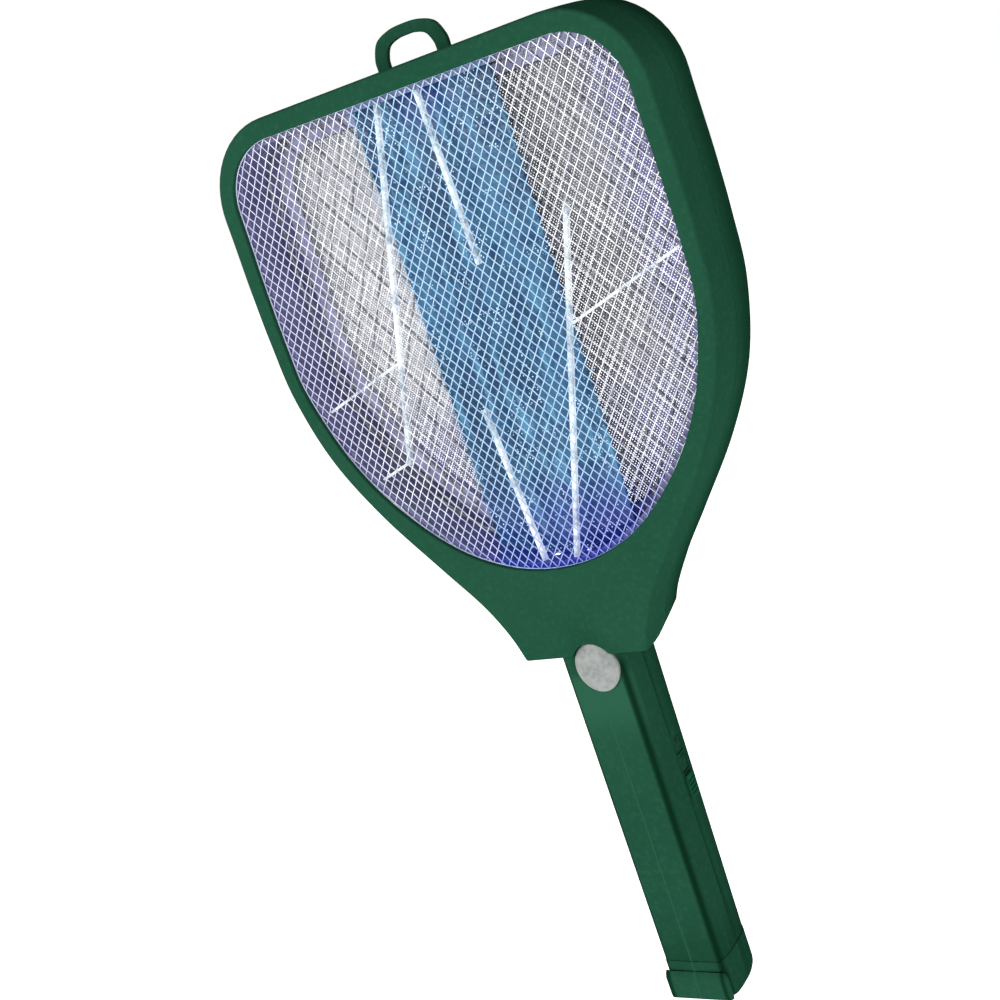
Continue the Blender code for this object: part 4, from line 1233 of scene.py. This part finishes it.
def make_button():
    """A low oval dome with a rounded edge on a straight side."""
    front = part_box("power_button")[0].y
    back, edge, steps = -14.8 * MM, -19 * MM, 14
    rings = [at_depth(oval(BUTTON_CENTRE, BUTTON_RADII), y) for y in (back, edge)]
    for i in range(1, steps + 1):
        share = cos(pi / 2 * i / steps)
        y = edge + (front - edge) * (1 - share**3.2)
        radii = [radius * max(share ** 0.62, 0.01) for radius in BUTTON_RADII]
        rings.append(at_depth(oval(BUTTON_CENTRE, radii), y))
    piece = solid("push_button", rings)
    finished(piece, "grey_plastic", "button", ["power_button"])


def make_knob():
    """The slide switch's thumb piece, with rounded corners and four finger grooves."""
    low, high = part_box("mode_switch_knob")
    outer = high.x
    inner = HANDLE_SIDE + 0.3 * MM
    near, far = SWITCH_Y - 3.6 * MM, SWITCH_Y + 3.6 * MM
    corners = [(near, KNOB_LOW), (near, KNOB_HIGH), (far, KNOB_HIGH), (far, KNOB_LOW)]
    loop = clockwise(filleted_loop([Vector(place) for place in corners], 0.9 * MM))
    builder = Builder()
    rings = []
    for distance, x in ((0, inner), (0, outer - 0.5 * MM), (0.15 * MM, outer - 0.15 * MM),
                        (0.5 * MM, outer)):
        rings.append([(x, p.x, p.y) for p in inset(loop, distance)])
    builder.loft(rings, capped=True)
    piece = loose("thumb_slider", builder)
    cutters = []
    for i in range(4):
        z = KNOB_LOW + (2.9 + 2.4 * i) * MM
        cutters.append(block("finger_groove", (outer - 0.55 * MM, SWITCH_Y - 5 * MM, z - 0.45 * MM),
                             (outer + 1 * MM, SWITCH_Y + 5 * MM, z + 0.45 * MM)))
    carve(piece, cutters)
    middle = (KNOB_LOW + KNOB_HIGH) / 2
    stem = block("stem", (low.x, SWITCH_Y - 1.2 * MM, middle - 1.3 * MM),
                 (inner + 0.3 * MM, SWITCH_Y + 1.2 * MM, middle + 1.3 * MM))
    merged(piece, stem)
    finished(piece, "knob_plastic", "mode_knob", ["mode_switch_knob"])


def make_windows():
    for key in WINDOWS:
        node = f"{key}_window"
        low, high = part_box(node)
        corners = [(low.y, low.z), (low.y, high.z), (high.y, high.z), (high.y, low.z)]
        loop = clockwise(filleted_loop([Vector(place) for place in corners], 0.6 * MM))
        builder = Builder()
        rings = []
        for distance, x in ((0, low.x), (0, high.x - 0.3 * MM), (0.3 * MM, high.x)):
            rings.append([(x, p.x, p.y) for p in inset(loop, distance)])
        builder.loft(rings, capped=True)
        finished(loose(f"lens_{node}", builder), "window_plastic", "body", [node])


make_front_shell()
make_rear_shell()
make_loop()
make_carrier()
make_grid("front_guard_grid", BAND_OUT, BAND_IN, GUARD_ANGLES, GUARD_PITCH, GUARD_WIRE, None)
make_grid("charge_grid", CHARGE_BAND_OUT, CHARGE_BAND_IN, CHARGE_ANGLES, CHARGE_PITCH, CHARGE_WIRE,
          CHARGE_METAL)
make_screen("rear_guard_grid")
make_panel()
for rib_node, rib_runs in RIBS.items():
    make_rib(rib_node, rib_runs)
make_leds()
for screw_node in ("head_screw_left", "head_screw_right", "handle_screw_bottom", "handle_screw_lower",
                   "handle_screw_upper"):
    make_screw(screw_node)
make_handle_front()
make_handle_rear()
make_end_cap()
make_button()
make_knob()
make_windows()


# Pieces shown with their CAD shape

def dress_cad_nodes():
    """Gives each CAD piece that is still visible the material of its slot."""
    slots = {part["node"]: part["material_slot"] for part in frame["record"]["subparts"]}
    for node, piece in frame["nodes"].items():
        if piece.hide_render:
            continue
        piece.data.materials.clear()
        piece.data.materials.append(MATERIALS[slots[node]])


dress_cad_nodes()


# Stage, light and camera

def make_floor():
    """A white floor, bright enough to have no edge against the background."""
    reach = 6
    corners = [(x * reach, y * reach, FLOOR_HEIGHT) for x, y in ((-1, -1), (1, -1), (1, 1), (-1, 1))]
    builder = Builder()
    builder.faces.append(tuple(builder.ring(corners)))
    floor = loose("floor", builder)
    shader = Shader("floor_white", 1.0, specular_ior_level=0.0)
    shader.set("Base Color", (0.9, 0.9, 0.9))
    shader.set("Emission Color", (1.0, 1.0, 1.0))
    shader.set("Emission Strength", 1.0)
    floor.data.materials.append(shader.material)


def make_light(name, place, target, size, power, colour=(1, 1, 1)):
    data = bpy.data.lights.new(name, "AREA")
    data.shape = "DISK"
    data.size = size
    data.energy = power
    data.color = colour
    light = bpy.data.objects.new(name, data)
    light.location = place
    light.rotation_euler = (Vector(target) - Vector(place)).to_track_quat("-Z", "Y").to_euler()
    bpy.context.scene.collection.objects.link(light)


def make_world():
    """A white surround that lights the racket softly and is seen at full white."""
    world = bpy.data.worlds.new("studio")
    world.use_nodes = True
    tree = world.node_tree
    back = tree.nodes["Background"]
    path = tree.nodes.new("ShaderNodeLightPath")
    strength = tree.nodes.new("ShaderNodeMapRange")
    strength.inputs["To Min"].default_value = 0.32
    strength.inputs["To Max"].default_value = 1.0
    tree.links.new(path.outputs["Is Camera Ray"], strength.inputs[0])
    tree.links.new(strength.outputs[0], back.inputs["Strength"])
    back.inputs["Color"].default_value = (1, 1, 1, 1)
    bpy.context.scene.world = world


def make_camera():
    azimuth, elevation, roll = (radians(a) for a in (CAMERA_AZIMUTH, CAMERA_ELEVATION, CAMERA_ROLL))
    back = Vector((sin(azimuth) * cos(elevation), -cos(azimuth) * cos(elevation), sin(elevation)))
    level = Vector((cos(azimuth), sin(azimuth), 0))
    rise = back.cross(level)
    right = level * cos(roll) - rise * sin(roll)
    up = level * sin(roll) + rise * cos(roll)
    data = bpy.data.cameras.new("photo_camera")
    data.lens = CAMERA_LENS
    data.sensor_width = 36
    data.clip_start = 0.01
    camera = bpy.data.objects.new("photo_camera", data)
    turn = Matrix((right, up, back)).transposed().to_4x4()
    camera.matrix_world = Matrix.Translation(CAMERA_TARGET + back * CAMERA_DISTANCE) @ turn
    bpy.context.scene.collection.objects.link(camera)
    bpy.context.scene.camera = camera


make_floor()
make_light("key", (-0.6, -1.4, 0.9), (0, 0, 0.33), 1.1, 22)
make_light("side", (1.25, -0.9, 0.5), (0, 0, 0.3), 0.8, 8)
make_light("rear", (0.1, 1.5, 0.8), (0, 0, 0.3), 1.0, 3)
make_world()
make_camera()
bpy.context.scene.view_settings.view_transform = "Standard"
